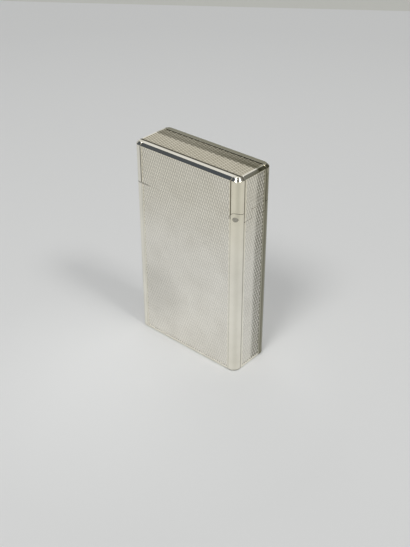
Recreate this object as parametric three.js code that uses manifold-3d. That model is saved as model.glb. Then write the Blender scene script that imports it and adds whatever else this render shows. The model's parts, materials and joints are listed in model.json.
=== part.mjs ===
// A slim gas pocket lighter with a hinged cap, shut, standing on its base.
// Millimetres. -Y is the front, +X the hinge side, +Z up. The origin is the middle of the base.

import * as THREE from 'three';
import { mergeVertices } from 'three/addons/utils/BufferGeometryUtils.js';
import Module from 'manifold-3d';

const wasm = await Module();
wasm.setup();

// Outside of the case and the cap
const CASE_WIDTH = 34.5;
const CASE_DEPTH = 13;
const SEAM_HEIGHT = 46;
const CAP_HEIGHT = 11;
const SEAM_GAP = 0.08;
const CASE_WALL = 0.9;
const CAP_WALL = 0.8;
const CAP_ROOF = 0.9;
const CAP_BEVEL = 0.7;
const BASE_BEVEL = 0.3;

// Corner columns: a slightly crowned facet, then a fine groove on each face
const COLUMN_FACET = 1.9;
const FACET_CROWN = 0.5;
const GROOVE_INSET = 2.4;
const GROOVE_WIDTH = 0.3;
const CASE_GROOVE_DEPTH = 0.15;
const CAP_GROOVE_DEPTH = 0.35;

// Sunk fields for the engine-turned pattern
const FIELD_DEPTH = 0.12;
const FRONT_FIELD_MARGIN = 2.8;
const SIDE_FIELD_MARGIN = 3.1;
const BASE_FIELD_MARGIN = 1.0;
const ROOF_FIELD_END_MARGIN = 1.2;
const ROOF_GROOVE_INSET = 2.05;
const ROOF_GROOVE_WIDTH = 0.3;
const ROOF_GROOVE_DEPTH = 0.3;

// Hinge
const HINGE_SETBACK = 1.1;
const HINGE_RISE = 0.2;
const KNUCKLE_RADIUS = 1.62;
const KNUCKLE_CLEARANCE = 0.1;
const KNUCKLE_SIDE_GAP = 0.08;
const EAR_WIDTH = 2.4;
const CENTRE_KNUCKLE_START = -1.0;
const CENTRE_KNUCKLE_END = 2.0;
const HINGE_PIN_RADIUS = 0.6;
const PIN_FIT = 0.04;
const PIN_RUNNING_FIT = 0.08;
const HINGE_BLOCK_THICKNESS = 2.2;
const HINGE_BLOCK_HEIGHT = 9.4;
const CAP_WEB_HEIGHT = 2.9;
const CAP_WEB_SETBACK = 0.25;

// Snap leaf spring and its rivet
const LEAF_THICKNESS = 0.3;
const LEAF_WIDTH = 2.5;
const LEAF_LENGTH = 8.5;
const LEAF_CLEARANCE = 0.1;
const LEAF_TIP_RISE = 0.6;
const RIVET_RADIUS = 0.5;
const RIVET_HEAD_RADIUS = 0.95;
const RIVET_HEAD_THICKNESS = 0.35;
const RIVET_INSET = 1.5;
const RIVET_RISE = 1.4;

// Fits between fixed pieces
const FIT = 0.15;
const SEAT_GAP = 0.05;

// Base plate, tank and top deck
const BASE_THICKNESS = 1.4;
const TANK_SIDE_GAP = 0.3;
const TANK_FLOOR_GAP = 0.7;
const TANK_TOP_GAP = 0.4;
const TANK_WALL = 0.7;
const TANK_CORNER = 1.6;
const DECK_THICKNESS = 1.8;
const DECK_DROP = 0.4;

// Base screws
const SCREW_HEAD_THICKNESS = 1.2;
const SCREW_HEAD_RECESS = 0.15;
const SCREW_SLOT_WIDTH = 0.9;
const SCREW_SLOT_DEPTH = 0.6;
const SCREW_LENGTH = 3.2;
const SEAL_GAP = 0.07;
const SEAL_THICKNESS = 0.45;
const FILLER_X = 5;
const FILLER_HEAD_RADIUS = 3.5;
const FILLER_SHANK_RADIUS = 2.0;
const FILLER_VALVE_WALL = 0.8;
const FILLER_VALVE_LENGTH = 6.5;
const FILLER_STEM_RADIUS = 1.5;
const FILLER_STEM_BORE = 0.4;
const FLINT_SCREW_HEAD_RADIUS = 2.4;
const FLINT_SCREW_SHANK_RADIUS = 1.05;

// Striker
const ROLLER_INSET = 4.65;
const ROLLER_RISE = 4.0;
const ROLLER_RADIUS = 2.9;
const ROLLER_TEETH = 34;
const ROLLER_TOOTH_DEPTH = 0.28;
const FLINT_WHEEL_RADIUS = 2.7;
const FLINT_WHEEL_WIDTH = 2.6;
const FLINT_WHEEL_TEETH = 30;
const FLINT_WHEEL_TOOTH_DEPTH = 0.22;
const ROLLER_GAP = 0.2;
const AXLE_RADIUS = 0.8;
const AXLE_END = 0.3;
const AXLE_LINER_GAP = 0.4;
const AXLE_RUNNING_FIT = 0.08;
const YOKE_THICKNESS = 0.6;
const YOKE_HALF_LENGTH = 2.2;
const YOKE_EYE_RADIUS = 1.9;
const YOKE_SCREW_GAP = 0.25;

// Flint column
const FLINT_RADIUS = 1.1;
const FLINT_LENGTH = 4.6;
const FLINT_GAP = 0.25;
const FLINT_RUNNING_FIT = 0.2;
const FLINT_TUBE_WALL = 0.6;
const FOLLOWER_LENGTH = 3.0;
const FLINT_SPRING_WIRE = 0.4;
const FLINT_SPRING_PITCH = 2.0;

// Burner
const BURNER_X = -3.5;
const VALVE_RADIUS = 2.6;
const VALVE_STEM_RADIUS = 1.95;
const VALVE_STEM_LENGTH = 2.8;
const VALVE_RISE = 1.1;
const VALVE_BORE_RADIUS = 1.1;
const VALVE_SPRING_BORE_RADIUS = 1.85;
const VALVE_PORT_RADIUS = 0.4;
const VALVE_FLOOR = 0.6;
const VALVE_SEAL_THICKNESS = 0.75;
const JET_RADIUS = 0.95;
const JET_COLLAR_RADIUS = 1.55;
const JET_COLLAR_THICKNESS = 0.4;
const JET_COLLAR_DROP = 0.6;
const JET_FLANGE_RADIUS = 1.8;
const JET_FLANGE_THICKNESS = 0.4;
const JET_NOZZLE_LENGTH = 1.35;
const JET_TIP_RADIUS = 0.65;
const JET_HOLE_RADIUS = 0.3;
const JET_HOLE_DEPTH = 1.6;
const JET_GAP = 0.25;
const JET_SPRING_WIRE = 0.35;
const JET_SPRING_PITCH = 0.9;
const ADJUSTER_RADIUS = 3.7;
const ADJUSTER_THICKNESS = 0.8;
const ADJUSTER_TEETH = 24;
const ADJUSTER_TOOTH_DEPTH = 0.35;
const ADJUSTER_GAP = 0.2;

// Wind guard
const GUARD_SHEET = 0.4;
const GUARD_HEIGHT = 7.8;
const GUARD_OPEN_REACH = 4.6;
const GUARD_CORNER = 1.2;
const GUARD_WINDOW_RADIUS = 1.6;
const GUARD_WINDOW_RISE = 5.0;

// Valve lever
const LEVER_PIVOT_INSET = 7.45;
const LEVER_THICKNESS = 0.8;
const LEVER_HALF_WIDTH = 1.95;
const LEVER_SLOT_CLEARANCE = 0.15;
const LEVER_HUB_RADIUS = 1.2;
const LEVER_GAP = 0.25;
const LEVER_PIN_RADIUS = 0.5;
const LEVER_PIN_END = 0.25;
const LEVER_SLOT_REACH = 0.5;
const BRACKET_SHEET = 0.5;
const BRACKET_SIDE_GAP = 0.2;
const BRACKET_HALF_LENGTH = 1.6;
const BRACKET_FOOT = 2.0;
const SMALL_SCREW_RADIUS = 0.4;
const SMALL_SCREW_HEAD_RADIUS = 0.75;
const SMALL_SCREW_HEAD_THICKNESS = 0.4;
const SMALL_SCREW_SLOT = 0.25;
const LEVER_SPRING_REACH = 5.6;
const LEVER_SPRING_RADIUS = 1.1;
const LEVER_SPRING_WIRE = 0.3;
const LEVER_SPRING_PITCH = 0.55;

// Inside of the cap
const LINER_SHEET = 0.45;
const PRESSER_SHEET = 0.5;
const PRESSER_REACH = 4.8;
const PRESSER_FOOT = 1.8;
const PRESSER_HALF_WIDTH = 1.5;
const PRESSER_GAP = 0.25;

// Worked out from the sizes above
const halfWidth = CASE_WIDTH / 2;
const halfDepth = CASE_DEPTH / 2;
const height = SEAM_HEIGHT + CAP_HEIGHT;
const caseRim = SEAM_HEIGHT - SEAM_GAP / 2;
const capRim = SEAM_HEIGHT + SEAM_GAP / 2;
const hingeX = halfWidth - HINGE_SETBACK;
const hingeZ = SEAM_HEIGHT + HINGE_RISE;
const earInside = halfDepth - EAR_WIDTH;
const outsideEar = halfDepth + 1;
const linerInset = CAP_WALL + SEAT_GAP;
const linerInside = halfDepth - linerInset - LINER_SHEET;
const hingeBlockFace = halfWidth - CASE_WALL - HINGE_BLOCK_THICKNESS;
const leafFace = hingeBlockFace - LEAF_CLEARANCE - LEAF_THICKNESS;
const deckTop = SEAM_HEIGHT - DECK_DROP;
const deckBottom = deckTop - DECK_THICKNESS;
const deckEnd = leafFace - FIT * 2;
const tankTop = deckBottom - TANK_TOP_GAP;
const tankFloor = BASE_THICKNESS + TANK_FLOOR_GAP;
const tankEnd = leafFace - RIVET_HEAD_THICKNESS - SEAT_GAP - TANK_SIDE_GAP;
const rollerX = -halfWidth + ROLLER_INSET;
const rollerZ = deckTop + ROLLER_RISE;
const axleEnd = linerInside - AXLE_LINER_GAP;
const yokeOutside = axleEnd - AXLE_END;
const yokeInside = yokeOutside - YOKE_THICKNESS;
const rollerStart = FLINT_WHEEL_WIDTH / 2 + ROLLER_GAP;
const rollerEnd = yokeInside - ROLLER_GAP;
const flintBore = FLINT_RADIUS + FLINT_RUNNING_FIT;
const flintTubeRadius = flintBore + FLINT_TUBE_WALL;
const yokeScrewY = flintTubeRadius + FIT + SMALL_SCREW_RADIUS + YOKE_SCREW_GAP;
const flintTop = rollerZ - FLINT_WHEEL_RADIUS - FLINT_GAP;
const followerTop = flintTop - FLINT_LENGTH - SEAT_GAP;
const tankStart = rollerX + flintTubeRadius + TANK_SIDE_GAP * 2;
const screwHeadTop = SCREW_HEAD_RECESS + SCREW_HEAD_THICKNESS;
const sealBottom = screwHeadTop + SEAL_GAP;
const screwTip = screwHeadTop + SCREW_LENGTH;
const fillerBore = FILLER_SHANK_RADIUS + FIT;
const fillerValveRadius = fillerBore + FILLER_VALVE_WALL;
const valveTop = deckTop + VALVE_RISE;
const valveShoulder = tankTop + SEAT_GAP;
const valveBottom = valveShoulder - VALVE_STEM_LENGTH;
const valveSeat = valveBottom + VALVE_FLOOR;
const jetBottom = valveSeat + SEAT_GAP + VALVE_SEAL_THICKNESS + FIT;
const jetFlange = valveTop + JET_GAP;
const leverBottom = jetFlange + JET_FLANGE_THICKNESS + LEVER_GAP;
const leverTop = leverBottom + LEVER_THICKNESS;
const leverZ = (leverBottom + leverTop) / 2;
const jetUpperFlange = leverTop + LEVER_GAP;
const jetNozzle = jetUpperFlange + JET_FLANGE_THICKNESS;
const jetTop = jetNozzle + JET_NOZZLE_LENGTH;
const bracketInside = LEVER_HALF_WIDTH + BRACKET_SIDE_GAP;
const bracketOutside = bracketInside + BRACKET_SHEET;
const bracketScrewY = bracketOutside + BRACKET_FOOT / 2;
const leverPivotX = halfWidth - LEVER_PIVOT_INSET;
const leverSpringX = leverPivotX - LEVER_SPRING_REACH;
const presserX = leverPivotX - PRESSER_REACH;
const guardBottom = deckTop + SEAT_GAP;
const guardGap = (linerInside - ADJUSTER_RADIUS - GUARD_SHEET) / 2;
const guardOutside = ADJUSTER_RADIUS + guardGap + GUARD_SHEET;
const guardEnd = BURNER_X + guardOutside;
const capInnerRoof = height - CAP_ROOF;
const linerTop = capInnerRoof - SEAT_GAP;
const linerInnerTop = linerTop - LINER_SHEET;
const capWebFace = hingeX - KNUCKLE_RADIUS - CAP_WEB_SETBACK;
const linerEnd = capWebFace - FIT;

// Segment counts of round shapes
const FINE = 40;
const ROUND = 24;
const SMALL = 16;
const FACET_STEPS = 8;

// Finishes
const finish = (color, roughness, metalness) =>
  new THREE.MeshStandardMaterial({ color, roughness, metalness });
const silver = finish(0xc9c6be, 0.28, 1);
const brass = finish(0xc0a062, 0.35, 1);
const steel = finish(0x8d8f92, 0.35, 1);
const nickel = finish(0xb9b7b0, 0.3, 1);
const blackenedSteel = finish(0x55565a, 0.5, 1);
const rubber = finish(0x1f1f20, 0.8, 0);
const flintAlloy = finish(0x4a4744, 0.6, 0.8);

// A closed three.js geometry as a solid that can be joined and cut.
function solid(geometry) {
  const bare = geometry.clone();
  bare.deleteAttribute('normal');
  bare.deleteAttribute('uv');
  const merged = mergeVertices(bare, 1e-5);
  const index = merged.index.array;
  const triangles = [];
  for (let i = 0; i < index.length; i += 3) {
    const [a, b, c] = [index[i], index[i + 1], index[i + 2]];
    if (a !== b && b !== c && c !== a) {
      triangles.push(a, b, c);
    }
  }
  return new wasm.Manifold(new wasm.Mesh({
    numProp: 3,
    vertProperties: Float32Array.from(merged.attributes.position.array),
    triVerts: Uint32Array.from(triangles),
  }));
}

function geometryOf(manifold) {
  const mesh = manifold.getMesh();
  const geometry = new THREE.BufferGeometry();
  geometry.setAttribute('position', new THREE.BufferAttribute(mesh.vertProperties.slice(), 3));
  geometry.setIndex(new THREE.BufferAttribute(mesh.triVerts.slice(), 1));
  return geometry;
}

function box(x0, x1, y0, y1, z0, z1) {
  const geometry = new THREE.BoxGeometry(x1 - x0, y1 - y0, z1 - z0);
  return solid(geometry.translate((x0 + x1) / 2, (y0 + y1) / 2, (z0 + z1) / 2));
}

function cylinderX(y, z, radius, x0, x1, segments = SMALL) {
  const geometry = new THREE.CylinderGeometry(radius, radius, x1 - x0, segments);
  return solid(geometry.rotateZ(Math.PI / 2).translate((x0 + x1) / 2, y, z));
}

function cylinderY(x, z, radius, y0, y1, segments = ROUND) {
  const geometry = new THREE.CylinderGeometry(radius, radius, y1 - y0, segments);
  return solid(geometry.translate(x, (y0 + y1) / 2, z));
}

function cylinderZ(x, y, radius, z0, z1, segments = ROUND) {
  const geometry = new THREE.CylinderGeometry(radius, radius, z1 - z0, segments);
  return solid(geometry.rotateX(Math.PI / 2).translate(x, y, (z0 + z1) / 2));
}

// An outline in X and Y, extruded upwards.
function prismZ(shape, z0, z1) {
  const options = { depth: z1 - z0, bevelEnabled: false, curveSegments: 4 };
  return solid(new THREE.ExtrudeGeometry(shape, options).translate(0, 0, z0));
}

// An outline in X and Z, extruded from the front to the back.
function prismY(shape, y0, y1) {
  const options = { depth: y1 - y0, bevelEnabled: false, curveSegments: 6 };
  return solid(new THREE.ExtrudeGeometry(shape, options).rotateX(Math.PI / 2).translate(0, y1, 0));
}

// A profile of radius and height turned round an upright axis, outer side going up.
function turned(x, profile, segments = ROUND) {
  const points = profile.map(([radius, z]) => new THREE.Vector2(radius, z));
  return solid(new THREE.LatheGeometry(points, segments).rotateX(Math.PI / 2).translate(x, 0, 0));
}

// A turned profile that closes on itself, for a piece with a bore.
function turnedRing(x, profile, segments = ROUND) {
  return turned(x, [...profile, profile[0]], segments);
}

function polygon(points) {
  return new THREE.Shape(points.map(([x, y]) => new THREE.Vector2(x, y)));
}

function roundedRectangle(x0, x1, y0, y1, radius) {
  const shape = new THREE.Shape();
  shape.absarc(x1 - radius, y1 - radius, radius, 0, Math.PI / 2);
  shape.absarc(x0 + radius, y1 - radius, radius, Math.PI / 2, Math.PI);
  shape.absarc(x0 + radius, y0 + radius, radius, Math.PI, Math.PI * 1.5);
  shape.absarc(x1 - radius, y0 + radius, radius, Math.PI * 1.5, Math.PI * 2);
  return shape;
}

// A wheel outline with pointed teeth.
function toothed(radius, depth, teeth) {
  const points = [];
  for (let i = 0; i < teeth; i += 1) {
    const step = (Math.PI * 2) / teeth;
    points.push([radius * Math.cos(i * step), radius * Math.sin(i * step)]);
    const root = radius - depth;
    points.push([root * Math.cos((i + 0.5) * step), root * Math.sin((i + 0.5) * step)]);
  }
  return polygon(points);
}

// One unbroken wire wound upwards round an upright axis.
function spring(x, radius, wire, pitch, z0, z1) {
  const sides = 5;
  const stepsPerTurn = 8;
  const turns = (z1 - z0 - wire) / pitch;
  const steps = Math.max(2, Math.round(turns * stepsPerTurn));
  const slope = pitch / (Math.PI * 2);
  const positions = [];
  const triangles = [];
  for (let i = 0; i <= steps; i += 1) {
    const angle = (i / steps) * turns * Math.PI * 2;
    const radial = new THREE.Vector3(Math.cos(angle), Math.sin(angle), 0);
    const along = new THREE.Vector3(-Math.sin(angle) * radius, Math.cos(angle) * radius, slope);
    const up = radial.clone().cross(along.normalize());
    const centre = radial.clone().multiplyScalar(radius);
    centre.z = z0 + wire / 2 + angle * slope;
    for (let j = 0; j < sides; j += 1) {
      const turn = (j / sides) * Math.PI * 2;
      const point = centre.clone();
      point.addScaledVector(radial, (Math.cos(turn) * wire) / 2);
      point.addScaledVector(up, (Math.sin(turn) * wire) / 2);
      positions.push(point.x + x, point.y, point.z);
    }
  }
  for (let i = 0; i < steps; i += 1) {
    for (let j = 0; j < sides; j += 1) {
      const a = i * sides + j;
      const b = i * sides + ((j + 1) % sides);
      triangles.push(a, a + sides, b, b, a + sides, b + sides);
    }
  }
  for (let j = 1; j < sides - 1; j += 1) {
    const last = steps * sides;
    triangles.push(0, j, j + 1, last, last + j + 1, last + j);
  }
  const geometry = new THREE.BufferGeometry();
  geometry.setAttribute('position', new THREE.Float32BufferAttribute(positions, 3));
  geometry.setIndex(triangles);
  return solid(geometry);
}

// The outline shared by the case, the cap and what fits in them, moved inwards by an inset.
// Each corner is a crowned facet, with a groove before and after it where a groove depth is given.
function columnOutline(inset, grooveDepth) {
  const chord = COLUMN_FACET * Math.SQRT2;
  const arcRadius = (chord * chord / 4 + FACET_CROWN * FACET_CROWN) / (2 * FACET_CROWN);
  const centreInset = COLUMN_FACET / 2 + (arcRadius - FACET_CROWN) / Math.SQRT2;
  const radius = arcRadius - inset;
  const startAngle = Math.asin((centreInset - inset) / radius);
  const endAngle = Math.PI / 2 - startAngle;
  const half = GROOVE_WIDTH / 2;
  const points = [];
  const corners = [[1, 1], [-1, 1], [-1, -1], [1, -1]];
  corners.forEach(([signX, signY]) => {
    const corner = [];
    if (grooveDepth > 0) {
      [half, 0, -half].forEach((offset) => {
        const depth = offset === 0 ? grooveDepth : 0;
        corner.push([halfWidth - inset - depth, halfDepth - GROOVE_INSET - offset]);
      });
    }
    for (let i = 0; i <= FACET_STEPS; i += 1) {
      const angle = endAngle + ((startAngle - endAngle) * i) / FACET_STEPS;
      const x = halfWidth - centreInset + radius * Math.cos(angle);
      const y = halfDepth - centreInset + radius * Math.sin(angle);
      corner.push([x, y]);
    }
    if (grooveDepth > 0) {
      [-half, 0, half].forEach((offset) => {
        const depth = offset === 0 ? grooveDepth : 0;
        corner.push([halfWidth - GROOVE_INSET - offset, halfDepth - inset - depth]);
      });
    }
    if (signX * signY < 0) {
      corner.reverse();
    }
    corner.forEach(([x, y]) => points.push([x * signX, y * signY]));
  });
  return points;
}

// Joins outlines with the same number of points, each at its own height, into one solid.
function stacked(levels) {
  const count = levels[0].outline.length;
  const positions = [];
  const triangles = [];
  levels.forEach(({ outline, z }) => outline.forEach(([x, y]) => positions.push(x, y, z)));
  for (let level = 0; level < levels.length - 1; level += 1) {
    for (let i = 0; i < count; i += 1) {
      const a = level * count + i;
      const b = level * count + ((i + 1) % count);
      triangles.push(a, b, b + count, a, b + count, a + count);
    }
  }
  const flat = levels[0].outline.map(([x, y]) => new THREE.Vector2(x, y));
  const top = (levels.length - 1) * count;
  THREE.ShapeUtils.triangulateShape(flat, []).forEach(([a, b, c]) => {
    triangles.push(a, c, b, top + a, top + b, top + c);
  });
  const geometry = new THREE.BufferGeometry();
  geometry.setAttribute('position', new THREE.Float32BufferAttribute(positions, 3));
  geometry.setIndex(triangles);
  return solid(geometry);
}

function columnPrism(inset, z0, z1) {
  return prismZ(polygon(columnOutline(inset, 0)), z0, z1);
}

// The sunk fields on the four upright faces, as the slabs that are cut away between two heights.
function cutFields(piece, z0, z1) {
  const frontX = halfWidth - FRONT_FIELD_MARGIN;
  const sideY = halfDepth - SIDE_FIELD_MARGIN;
  const beyond = 1;
  return piece
    .subtract(box(-frontX, frontX, -halfDepth - beyond, -halfDepth + FIELD_DEPTH, z0, z1))
    .subtract(box(-frontX, frontX, halfDepth - FIELD_DEPTH, halfDepth + beyond, z0, z1))
    .subtract(box(-halfWidth - beyond, -halfWidth + FIELD_DEPTH, -sideY, sideY, z0, z1))
    .subtract(box(halfWidth - FIELD_DEPTH, halfWidth + beyond, -sideY, sideY, z0, z1));
}

// Hinge cylinders of one radius over the stretches that the case holds, or over those of the cap.
const caseKnuckles = [
  [-outsideEar, -earInside],
  [CENTRE_KNUCKLE_START, CENTRE_KNUCKLE_END],
  [earInside, outsideEar],
];
const capKnuckles = [
  [-earInside, CENTRE_KNUCKLE_START],
  [CENTRE_KNUCKLE_END, earInside],
];

function knuckleRow(stretches, radius, sideGap) {
  const rows = stretches.map(([y0, y1]) =>
    cylinderY(hingeX, hingeZ, radius, y0 + sideGap, y1 - sideGap, FINE));
  return rows.reduce((all, one) => all.add(one));
}

const root = new THREE.Group();

function add(name, manifold, material) {
  const mesh = new THREE.Mesh(geometryOf(manifold), material);
  mesh.name = name;
  root.add(mesh);
}

function makeCase() {
  const knuckleTop = hingeZ + KNUCKLE_RADIUS + 1;
  const leafStart = -earInside + KNUCKLE_SIDE_GAP;
  const block = box(hingeBlockFace, halfWidth - CASE_WALL / 2, -earInside, earInside,
    caseRim - HINGE_BLOCK_HEIGHT, caseRim);
  const outside = stacked([
    { outline: columnOutline(BASE_BEVEL, CASE_GROOVE_DEPTH), z: 0 },
    { outline: columnOutline(0, CASE_GROOVE_DEPTH), z: BASE_BEVEL },
    { outline: columnOutline(0, CASE_GROOVE_DEPTH), z: caseRim },
  ]);
  const upright = columnPrism(0, deckBottom, knuckleTop);
  const knuckles = knuckleRow(caseKnuckles, KNUCKLE_RADIUS, 0).intersect(upright);
  let piece = outside
    .subtract(columnPrism(CASE_WALL, -1, height))
    .add(block)
    .add(knuckles)
    .subtract(knuckleRow(capKnuckles, KNUCKLE_RADIUS + KNUCKLE_CLEARANCE, 0))
    .subtract(cylinderY(hingeX, hingeZ, HINGE_PIN_RADIUS + PIN_FIT, -outsideEar, outsideEar));
  piece = piece
    .subtract(box(hingeBlockFace - 1, hingeX - KNUCKLE_RADIUS, leafStart - FIT,
      leafStart + LEAF_WIDTH + FIT, hingeZ - KNUCKLE_RADIUS, height))
    .subtract(cylinderX(leafStart + LEAF_WIDTH / 2, rivetZ(), RIVET_RADIUS + SEAT_GAP,
      hingeBlockFace - 1, hingeBlockFace + RIVET_INSET + SEAT_GAP));
  add('body_case', cutFields(piece, BASE_FIELD_MARGIN, height), silver);
}

function rivetZ() {
  return caseRim - LEAF_LENGTH + RIVET_RISE;
}

function makeSnapLeaf() {
  const leafStart = -earInside + KNUCKLE_SIDE_GAP;
  const bottom = caseRim - LEAF_LENGTH;
  const bend = caseRim - LEAF_TIP_RISE;
  const tipReach = hingeX - KNUCKLE_RADIUS - KNUCKLE_CLEARANCE - leafFace - LEAF_THICKNESS;
  const outline = polygon([
    [leafFace, bottom],
    [leafFace + LEAF_THICKNESS, bottom],
    [leafFace + LEAF_THICKNESS, bend],
    [leafFace + LEAF_THICKNESS + tipReach, caseRim],
    [leafFace + tipReach, caseRim],
    [leafFace, bend],
  ]);
  const y = leafStart + LEAF_WIDTH / 2;
  const hole = cylinderX(y, rivetZ(), RIVET_RADIUS + SEAT_GAP, leafFace - 1, hingeBlockFace);
  add('snap_leaf', prismY(outline, leafStart, leafStart + LEAF_WIDTH).subtract(hole), steel);
  const headFace = leafFace - SEAT_GAP;
  const head = cylinderX(y, rivetZ(), RIVET_HEAD_RADIUS, headFace - RIVET_HEAD_THICKNESS, headFace);
  const shank = cylinderX(y, rivetZ(), RIVET_RADIUS, headFace - RIVET_HEAD_THICKNESS / 2,
    hingeBlockFace + RIVET_INSET);
  add('leaf_rivet', head.add(shank), brass);
}

function makeCap() {
  const outside = stacked([
    { outline: columnOutline(0, CAP_GROOVE_DEPTH), z: capRim },
    { outline: columnOutline(0, CAP_GROOVE_DEPTH), z: height - CAP_BEVEL },
    { outline: columnOutline(CAP_BEVEL, CAP_GROOVE_DEPTH), z: height },
  ]);
  const cavity = columnPrism(CAP_WALL, 0, capInnerRoof);
  const webEnd = earInside - KNUCKLE_SIDE_GAP;
  const web = box(capWebFace, halfWidth - CAP_WALL / 2, -webEnd, webEnd, capRim, capRim + CAP_WEB_HEIGHT);
  const upright = columnPrism(0, deckBottom, height - CAP_BEVEL);
  const knuckles = knuckleRow(capKnuckles, KNUCKLE_RADIUS, KNUCKLE_SIDE_GAP).intersect(upright);
  const roofX = halfWidth - ROOF_FIELD_END_MARGIN;
  const roofY = halfDepth - ROOF_GROOVE_INSET;
  let piece = outside
    .subtract(cavity)
    .add(web)
    .subtract(knuckleRow(caseKnuckles, KNUCKLE_RADIUS + KNUCKLE_CLEARANCE, -KNUCKLE_SIDE_GAP))
    .add(knuckles)
    .subtract(cylinderY(hingeX, hingeZ, HINGE_PIN_RADIUS + PIN_RUNNING_FIT, -outsideEar, outsideEar));
  piece = cutFields(piece, 0, height - CAP_BEVEL - FIELD_DEPTH)
    .subtract(box(-roofX, roofX, -roofY, roofY, height - FIELD_DEPTH, height + 1));
  [-roofY, roofY - ROOF_GROOVE_WIDTH].forEach((y) => {
    piece = piece.subtract(box(-roofX, roofX, y, y + ROOF_GROOVE_WIDTH,
      height - ROOF_GROOVE_DEPTH, height + 1));
  });
  add('cap_shell', piece, silver);
}

function makeLiner() {
  const outside = columnPrism(linerInset, capRim + SEAT_GAP, linerTop)
    .subtract(box(linerEnd, halfWidth, -halfDepth, halfDepth, 0, height));
  const cavity = columnPrism(linerInset + LINER_SHEET, 0, linerInnerTop)
    .subtract(box(linerEnd - LINER_SHEET, halfWidth, -halfDepth, halfDepth, 0, height));
  add('cap_liner', outside.subtract(cavity), nickel);
  const top = linerInnerTop - SEAT_GAP;
  const foot = leverTop + PRESSER_GAP;
  const outline = polygon([
    [presserX - PRESSER_FOOT, foot],
    [presserX, foot],
    [presserX, top],
    [presserX - PRESSER_FOOT, top],
    [presserX - PRESSER_FOOT, top - PRESSER_SHEET],
    [presserX - PRESSER_SHEET, top - PRESSER_SHEET],
    [presserX - PRESSER_SHEET, foot + PRESSER_SHEET],
    [presserX - PRESSER_FOOT, foot + PRESSER_SHEET],
  ]);
  add('cap_presser', prismY(outline, -PRESSER_HALF_WIDTH, PRESSER_HALF_WIDTH), steel);
}

function makeHingePin() {
  const bar = cylinderY(hingeX, hingeZ, HINGE_PIN_RADIUS, -outsideEar, outsideEar);
  add('hinge_pin', bar.intersect(columnPrism(0, deckBottom, height)), steel);
}

function makeBase() {
  const plate = columnPrism(CASE_WALL + SEAT_GAP, 0, BASE_THICKNESS)
    .subtract(cylinderZ(FILLER_X, 0, FILLER_HEAD_RADIUS + FIT, -1, BASE_THICKNESS + 1, FINE))
    .subtract(cylinderZ(rollerX, 0, FLINT_SCREW_HEAD_RADIUS + FIT, -1, BASE_THICKNESS + 1, FINE));
  add('base_plate', plate, nickel);
}

function makeTank() {
  const depth = halfDepth - CASE_WALL - TANK_SIDE_GAP;
  const outside = prismZ(roundedRectangle(tankStart, tankEnd, -depth, depth, TANK_CORNER),
    tankFloor, tankTop);
  const inside = prismZ(roundedRectangle(tankStart + TANK_WALL, tankEnd - TANK_WALL,
    -depth + TANK_WALL, depth - TANK_WALL, TANK_CORNER - TANK_WALL),
  tankFloor + TANK_WALL, tankTop - TANK_WALL);
  const tank = outside
    .subtract(inside)
    .subtract(cylinderZ(FILLER_X, 0, fillerValveRadius + FIT, 0, tankFloor + TANK_WALL * 2))
    .subtract(cylinderZ(BURNER_X, 0, VALVE_STEM_RADIUS + FIT, tankTop - TANK_WALL * 2, height));
  add('fuel_tank', tank, brass);
}

// A screw in the base, with a straight slot for a coin, and the seal round its shank.
function makeBaseScrew(name, sealName, x, headRadius, shankRadius, sealRadius, tip) {
  const slot = box(x - headRadius - 1, x + headRadius + 1, -SCREW_SLOT_WIDTH / 2,
    SCREW_SLOT_WIDTH / 2, 0, SCREW_HEAD_RECESS + SCREW_SLOT_DEPTH);
  const screw = turned(x, [
    [0, SCREW_HEAD_RECESS],
    [headRadius, SCREW_HEAD_RECESS],
    [headRadius, screwHeadTop],
    [shankRadius, screwHeadTop],
    [shankRadius, tip],
    [0, tip],
  ], FINE);
  add(name, screw.subtract(slot), brass);
  const hole = shankRadius + FIT;
  add(sealName, turnedRing(x, [
    [hole, sealBottom],
    [sealRadius, sealBottom],
    [sealRadius, sealBottom + SEAL_THICKNESS],
    [hole, sealBottom + SEAL_THICKNESS],
  ]), rubber);
}

function makeFiller() {
  const bottom = tankFloor + SEAT_GAP;
  const seat = screwTip + FIT * 2;
  const shoulder = seat + FILLER_VALVE_WALL;
  const top = bottom + FILLER_VALVE_LENGTH;
  add('filler_valve', turnedRing(FILLER_X, [
    [fillerBore, bottom],
    [fillerValveRadius, bottom],
    [fillerValveRadius, shoulder],
    [FILLER_STEM_RADIUS, shoulder],
    [FILLER_STEM_RADIUS, top],
    [FILLER_STEM_BORE, top],
    [FILLER_STEM_BORE, seat],
    [fillerBore, seat],
  ]), brass);
  makeBaseScrew('filler_screw', 'filler_gasket', FILLER_X, FILLER_HEAD_RADIUS,
    FILLER_SHANK_RADIUS, fillerValveRadius, screwTip);
}

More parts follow.
